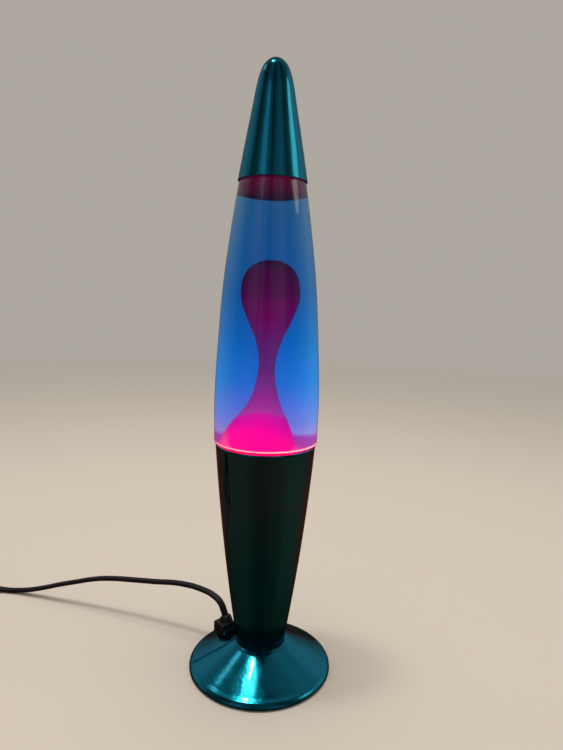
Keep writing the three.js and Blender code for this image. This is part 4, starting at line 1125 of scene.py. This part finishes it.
# The liquid reaches a little into the glass, so that no film of air shows between the two.
OVERLAP = 0.5
liquid_outer = beside(outer_line, GLASS - OVERLAP)
liquid_line = [(r, z) for r, z in liquid_outer if z < 338]
liquid_line = [(0, liquid_line[0][1]), *liquid_line[1:], (liquid_line[-1][0] - 0.3, 338.4), (0, 338.4)]
liquid_mesh = turned(liquid_line, 160)
water, tree, shader = surface(
    "dyed blue water",
    {
        "Base Color": grey(1),
        "Roughness": 0.0,
        "IOR": 1.33,
        "Transmission Weight": 1.0,
        "Emission Strength": 1.0,
    },
)
place = added(tree, "ShaderNodeTexCoord").outputs["Object"]
height = added(tree, "ShaderNodeSeparateXYZ", links={"Vector": place}).outputs["Z"]
painted_glow_height = added(
    tree, "ShaderNodeMapRange", values={"From Min": 0.160, "From Max": 0.330}, links={"Value": height}
)
# Painted light: an emission stands for light scattered in the water. Seen before the wax it is faint, and
# the far side glows more.
painted_near_scatter = added(
    tree,
    "ShaderNodeValToRGB",
    links={"Fac": painted_glow_height.outputs["Result"]},
    stops=[
        (0.0, (0.55, 0.0, 0.05, 1)),
        (0.06, (0.36, 0.0, 0.06, 1)),
        (0.12, (0.15, 0.0, 0.10, 1)),
        (0.19, (0.07, 0.01, 0.13, 1)),
        (0.28, (0.012, 0.02, 0.12, 1)),
        (0.40, (0.0, 0.012, 0.09, 1)),
        (0.50, (0.0, 0.0, 0.04, 1)),
        (0.62, (0.0, 0.0, 0.015, 1)),
        (1.0, (0.0, 0.0, 0.0, 1)),
    ],
).outputs["Color"]
painted_far_scatter = added(
    tree,
    "ShaderNodeValToRGB",
    links={"Fac": painted_glow_height.outputs["Result"]},
    stops=[
        (0.0, (0.3, 1.9, 1.1, 1)),
        (0.1, (0.3, 1.7, 1.1, 1)),
        (0.28, (0.1, 1.15, 0.85, 1)),
        (0.42, (0.0, 0.75, 0.55, 1)),
        (0.60, (0.0, 0.3, 0.28, 1)),
        (1.0, (0.0, 0.0, 0.0, 1)),
    ],
).outputs["Color"]
# Painted light: the far side's glow is a little brighter on the right, away from the side that the wax leans
# to.
across = added(tree, "ShaderNodeSeparateXYZ", links={"Vector": place}).outputs["X"]
side = added(
    tree,
    "ShaderNodeMapRange",
    values={"From Min": -0.03, "From Max": 0.03, "To Min": 0.5, "To Max": 1.0},
    links={"Value": across},
)
painted_far_side_glow = added(
    tree,
    "ShaderNodeVectorMath",
    {"operation": "SCALE"},
    links={0: painted_far_scatter, "Scale": side.outputs["Result"]},
)
# Painted light: the far side glows only where a ray through the water meets the inside of the far wall.
inside = added(tree, "ShaderNodeMath", {"operation": "MULTIPLY"})
tree.links.new(added(tree, "ShaderNodeNewGeometry").outputs["Backfacing"], inside.inputs[0])
tree.links.new(added(tree, "ShaderNodeLightPath").outputs["Is Transmission Ray"], inside.inputs[1])
painted_scatter_glow = added(
    tree,
    "ShaderNodeMix",
    {"data_type": "RGBA"},
    links={"Factor": inside.outputs["Value"], "A": painted_near_scatter, "B": painted_far_side_glow.outputs["Vector"]},
)
tree.links.new(painted_scatter_glow.outputs["Result"], shader.inputs["Emission Color"])
dye = added(tree, "ShaderNodeVolumeAbsorption", values={"Color": (0.0, 0.58, 0.89, 1), "Density": 85.0})
output = next(each for each in tree.nodes if each.type == "OUTPUT_MATERIAL")
tree.links.new(dye.outputs["Volume"], output.inputs["Volume"])
liquid = shown("blue_liquid", liquid_mesh, "bottle", water, 50)
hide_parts("lamp_liquid")

# The wound ring: fine steel wire in close turns, bent to a circle.
RING_RADIUS = 21
RING_HEIGHT = 138.5
RING_TURNS = 70
WINDING_RADIUS = 1.1
ring_curve = bpy.data.curves.new("wire_ring", "CURVE")
ring_curve.dimensions = "3D"
ring_curve.bevel_depth = 0.0003
ring_curve.bevel_resolution = 1
ring_curve.resolution_u = 2
ring_spline = ring_curve.splines.new("BEZIER")
ring_points = RING_TURNS * 7
ring_spline.bezier_points.add(ring_points - 1)
for i, knot in enumerate(ring_spline.bezier_points):
    around = 2 * math.pi * i / ring_points
    winding = RING_TURNS * around
    radius = RING_RADIUS + WINDING_RADIUS * math.cos(winding)
    height = RING_HEIGHT + WINDING_RADIUS * math.sin(winding)
    knot.co = Vector((radius * math.cos(around), radius * math.sin(around), height)) * MM
    knot.handle_left_type = knot.handle_right_type = "AUTO"
ring_spline.use_cyclic_u = True
ring_object = bpy.data.objects.new("wire_ring", ring_curve)
ring_mesh = bpy.data.meshes.new_from_object(ring_object)
bpy.data.objects.remove(ring_object)
wire_ring = shown("wound_wire_ring", ring_mesh, "bottle", zinc, 60)
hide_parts("heating_coil")

# ---------------------------------------------------------------- top cap
# The cap is spun like the foot, from the same sheet and in the same lacquer. It drops over the
# bottle's neck, rests on its shoulder and hides the crown cork.

CAP_TIP = 407.3
cap_line = flowing(
    [
        (0, CAP_TIP),
        (2.4, CAP_TIP - 0.45),
        (5.0, CAP_TIP - 1.9),
        (7.6, CAP_TIP - 4.7),
        (9.4, CAP_TIP - 8.4),
        (10.9, CAP_TIP - 13),
        (12.3, 388),
        (14.2, 377.5),
        (16.4, 366),
        (18.2, 356.4),
        (20.0, 346.4),
        (21.6, 337.2),
        (22.3, 333.2),
        (22.35, 332.7),
    ],
    4,
)
cap_mesh = turned(sheet_wall(cap_line, -METAL), 192)
top_cap = shown("spun_cap", cap_mesh, "cap", teal_lacquer, 60)
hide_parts("top_cap")

# ---------------------------------------------------------------- cord grip
# A moulded black grip holds the cord at the foot: a square block on a round neck, a leaning collar
# that the cord leaves, a clamp screw in its side, and a locking ring inside the foot.

GRIP_X = -27
GRIP_Y = 13.3
GRIP_TOP = 22
grip_block = box_mesh("grip", (11.2, 11.2, 8.6), (GRIP_X, GRIP_Y, GRIP_TOP - 3.4), 0.9, 4, turned_by=45)
grip_neck = round_bar("neck", 5.3, (GRIP_X, GRIP_Y, 12), (GRIP_X, GRIP_Y, 16.5), 48)
grip_mesh = combined(grip_block, grip_neck, "UNION")
lean = Vector((-0.309, 0.288, 0.906))
collar_foot = Vector((GRIP_X + 2, GRIP_Y + 1, GRIP_TOP - 1))
collar_line = [(0, -2), (4.5, -2), (4.5, 2.0), (4.3, 2.4), (4.0, 4.6), (3.6, 5.2), (2.9, 5.55), (0, 5.6)]
collar_mesh = turned(collar_line, 48)
collar_turn = lean.to_track_quat("Z", "Y").to_matrix().to_4x4()
collar_mesh.transform(Matrix.Translation(collar_foot * MM) @ collar_turn)
grip_mesh = combined(grip_mesh, collar_mesh, "UNION")
shank = round_bar("shank", 4, (GRIP_X, GRIP_Y, 7), (GRIP_X, GRIP_Y, 16), 40)
below_foot = turned([(0, SEAT + 0.05), *flowing(foot_line[1:14], 3), (45, -2), (0, -2)], 96)
grip_mesh = combined(grip_mesh, below_foot, "DIFFERENCE")
grip_mesh = combined(grip_mesh, shank, "UNION")
grip = shown("cord_grip", grip_mesh, "base", black_plastic, 40)
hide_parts("cord_gland")
screw_way = Vector((-math.sqrt(0.5), -math.sqrt(0.5), 0))
screw_foot = Vector((GRIP_X, GRIP_Y, 18.6))
screw_mesh = round_bar("screw", 1.4, screw_foot + screw_way * 3, screw_foot + screw_way * 5.8, 32)
screw_slot = box_mesh("slot", (1.6, 3.4, 0.5), screw_foot + screw_way * 5.9, 0, turned_by=45)
screw_mesh = combined(screw_mesh, screw_slot, "DIFFERENCE")
# Painted shade: the screw's steel is darkened nearly to black, so that it shows no glint and hardly shows in
# the grip.
shaded = metal("blackened steel", "#26272a", 0.4, 0.6, 0.8)
clamp_screw = shown("grip_clamp_screw", screw_mesh, "base", shaded)
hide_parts("gland_screw")
dressed(black_plastic, "gland_lock")

# Inside the foot the cord goes on without its sheath, up the tube, and ends in two wires.
dressed(vinyl, "inner_cord")
for name, colour in (("lead_live", "#5a3a22"), ("lead_neutral", "#2a56b0")):
    dressed(moulded(f"wire vinyl of {name}", colour, 0.4, 0.3, 0.4), name)

# ---------------------------------------------------------------- studio
# A plain pale floor that fades into the pale room, a large soft light overhead, a small bright one
# for the streaks on the metal, and soft fills. Glossy surfaces mirror a darker, warm room, and a painted
# reflection of the floor.

floor_shape = bmesh.new()
bmesh.ops.create_circle(floor_shape, cap_ends=True, segments=96, radius=3.0)
floor_mesh = meshed("floor", floor_shape)
floor = bpy.data.objects.new("floor", floor_mesh)
floor.location.z = -0.0002
bpy.context.scene.collection.objects.link(floor)
paper, tree, shader = surface("pale paper", {"Roughness": 0.9})


def mirrored(tree):
    """One for a ray that a gloss has thrown back, and zero for one that looks straight or through glass."""
    rays = added(tree, "ShaderNodeLightPath")
    thrown = added(tree, "ShaderNodeMath", {"operation": "MINIMUM"}, values={1: 1.0})
    tree.links.new(rays.outputs["Glossy Depth"], thrown.inputs[0])
    return thrown.outputs["Value"]


# Painted reflection: seen in the gloss, the floor is dark wood with tones in rings round the lamp, turning
# redder from 0.1 m out, fully so beyond 0.24 m.
tint = added(tree, "ShaderNodeMix", {"data_type": "RGBA"}, links={"Factor": mirrored(tree)})
tint.inputs["A"].default_value = linear("#d9d4cc")
around_lamp = added(
    tree,
    "ShaderNodeTexGradient",
    {"gradient_type": "RADIAL"},
    links={"Vector": added(tree, "ShaderNodeTexCoord").outputs["Object"]},
)
tones = [(0.0, 1.25), (0.12, 1.4), (0.19, 0.7), (0.25, 0.5), (0.31, 0.9), (0.36, 1.0), (0.42, 2.1)]
tones += [(0.55, 1.9), (0.66, 0.7), (0.86, 0.7), (0.95, 1.2)]
painted_wood_reflection = [(at, (0.062 * tone, 0.036 * tone, 0.018 * tone, 1)) for at, tone in tones]
reflection_with_red = added(tree, "ShaderNodeMix", {"data_type": "RGBA", "blend_type": "ADD"}, values={"Factor": 1.0})
tree.links.new(added(
    tree,
    "ShaderNodeValToRGB",
    links={"Fac": around_lamp.outputs["Fac"]},
    stops=painted_wood_reflection,
).outputs["Color"], reflection_with_red.inputs["A"])
away = added(
    tree,
    "ShaderNodeVectorMath",
    {"operation": "LENGTH"},
    links={0: added(tree, "ShaderNodeTexCoord").outputs["Object"]},
)
red_reach = added(
    tree,
    "ShaderNodeMapRange",
    values={"From Min": 0.1, "From Max": 0.24},
    links={"Value": away.outputs["Value"]},
)
painted_red_reflection = added(
    tree,
    "ShaderNodeValToRGB",
    links={"Fac": red_reach.outputs["Result"]},
    stops=[(0.0, grey(0)), (1.0, (0.3, 0.004, 0.003, 1))],
).outputs["Color"]
tree.links.new(painted_red_reflection, reflection_with_red.inputs["B"])
tree.links.new(reflection_with_red.outputs["Result"], tint.inputs["B"])
tree.links.new(tint.outputs["Result"], shader.inputs["Base Color"])
place = added(tree, "ShaderNodeTexCoord").outputs["Object"]
reach = added(tree, "ShaderNodeVectorMath", {"operation": "LENGTH"}, links={0: place})
fade = added(
    tree,
    "ShaderNodeMapRange",
    values={"From Min": 0.5, "From Max": 2.2},
    links={"Value": reach.outputs["Value"]},
)
clear = added(tree, "ShaderNodeBsdfTransparent")
blend = added(
    tree,
    "ShaderNodeMixShader",
    links={"Fac": fade.outputs["Result"], 1: shader.outputs["BSDF"], 2: clear.outputs["BSDF"]},
)
output = next(each for each in tree.nodes if each.type == "OUTPUT_MATERIAL")
tree.links.new(blend.outputs["Shader"], output.inputs["Surface"])
floor_mesh.materials.append(paper)

world = bpy.data.worlds.new("room")
world.use_nodes = True
bpy.context.scene.world = world
tree = world.node_tree
way = added(tree, "ShaderNodeTexCoord").outputs["Generated"]
up = added(tree, "ShaderNodeSeparateXYZ", links={"Vector": way}).outputs["Z"]
level = added(tree, "ShaderNodeMapRange", values={"From Min": -1.0, "From Max": 1.0}, links={"Value": up})
by_height = added(
    tree,
    "ShaderNodeValToRGB",
    links={"Fac": level.outputs["Result"]},
    stops=[
        (0.42, (0.012, 0.010, 0.004, 1)),
        (0.48, (0.05, 0.048, 0.045, 1)),
        (0.54, (0.06, 0.065, 0.07, 1)),
        (0.66, (0.11, 0.12, 0.13, 1)),
        (0.79, (0.12, 0.12, 0.135, 1)),
        (0.84, (0.06, 0.07, 0.075, 1)),
        (1.0, (0.065, 0.075, 0.08, 1)),
    ],
).outputs["Color"]
# Upright bands of light and shade stand round the room. Only what is mirrored shows them.
turned_way = added(tree, "ShaderNodeTexGradient", {"gradient_type": "RADIAL"}, links={"Vector": way})
bands = [(0.0, 1.0), (0.03, 0.35), (0.075, 0.4), (0.10, 0.9), (0.125, 1.3), (0.165, 1.5), (0.18, 0.8)]
bands += [(0.205, 1.1), (0.222, 0.35), (0.25, 0.3), (0.262, 0.8), (0.33, 1.4), (0.36, 1.2), (0.375, 0.5)]
bands += [(0.42, 0.45), (0.45, 1.0), (0.54, 2.2), (0.575, 3.4), (0.62, 2.6), (0.75, 2.6), (0.88, 2.6)]
bands += [(0.935, 2.4), (0.96, 1.6)]
by_turn = added(
    tree,
    "ShaderNodeValToRGB",
    links={"Fac": turned_way.outputs["Fac"]},
    stops=[(at, grey(tone)) for at, tone in bands],
).outputs["Color"]
dim_room = added(tree, "ShaderNodeVectorMath", {"operation": "MULTIPLY"}, links={0: by_height, 1: by_turn})
room = added(
    tree,
    "ShaderNodeMix",
    {"data_type": "RGBA"},
    links={"Factor": mirrored(tree), "B": dim_room.outputs["Vector"]},
)
room.inputs["A"].default_value = (0.42, 0.39, 0.35, 1)
tree.links.new(room.outputs["Result"], tree.nodes["Background"].inputs["Color"])


def soft_light(name, place, aim, size, power, colour):
    """A round soft light that looks at a point. Places in metres, power in watts."""
    light = bpy.data.lights.new(name, "AREA")
    light.shape = "DISK"
    light.size = size
    light.energy = power
    light.color = linear(colour)[:3]
    lamp = bpy.data.objects.new(name, light)
    lamp.location = place
    lamp.rotation_euler = (Vector(aim) - Vector(place)).to_track_quat("-Z", "Y").to_euler()
    bpy.context.scene.collection.objects.link(lamp)
    return lamp


overhead = soft_light("overhead", (0.0, 0.05, 1.9), (0, 0, 0), 1.1, 14, "#fff2e2")
overhead.visible_glossy = False
soft_light("key", (-0.29, 0.0, 1.7), (0, 0, 0.1), 0.14, 4.5, "#fff6ee")
soft_light("key_glow", (-0.26, 0.0, 1.8), (0, 0, 0.1), 0.46, 1.1, "#fff6ee")
soft_light("window", (-0.84, 0.38, 1.3), (0, 0, 0.0), 0.2, 0.14, "#ffffff")
soft_light("left_panel", (-0.75, -1.1, 1.25), (0, 0, 0.3), 0.5, 0.16, "#b8dcff")
soft_light("right_panel", (1.25, -0.05, 1.05), (0, 0, 0.3), 0.55, 0.9, "#fff6ea")
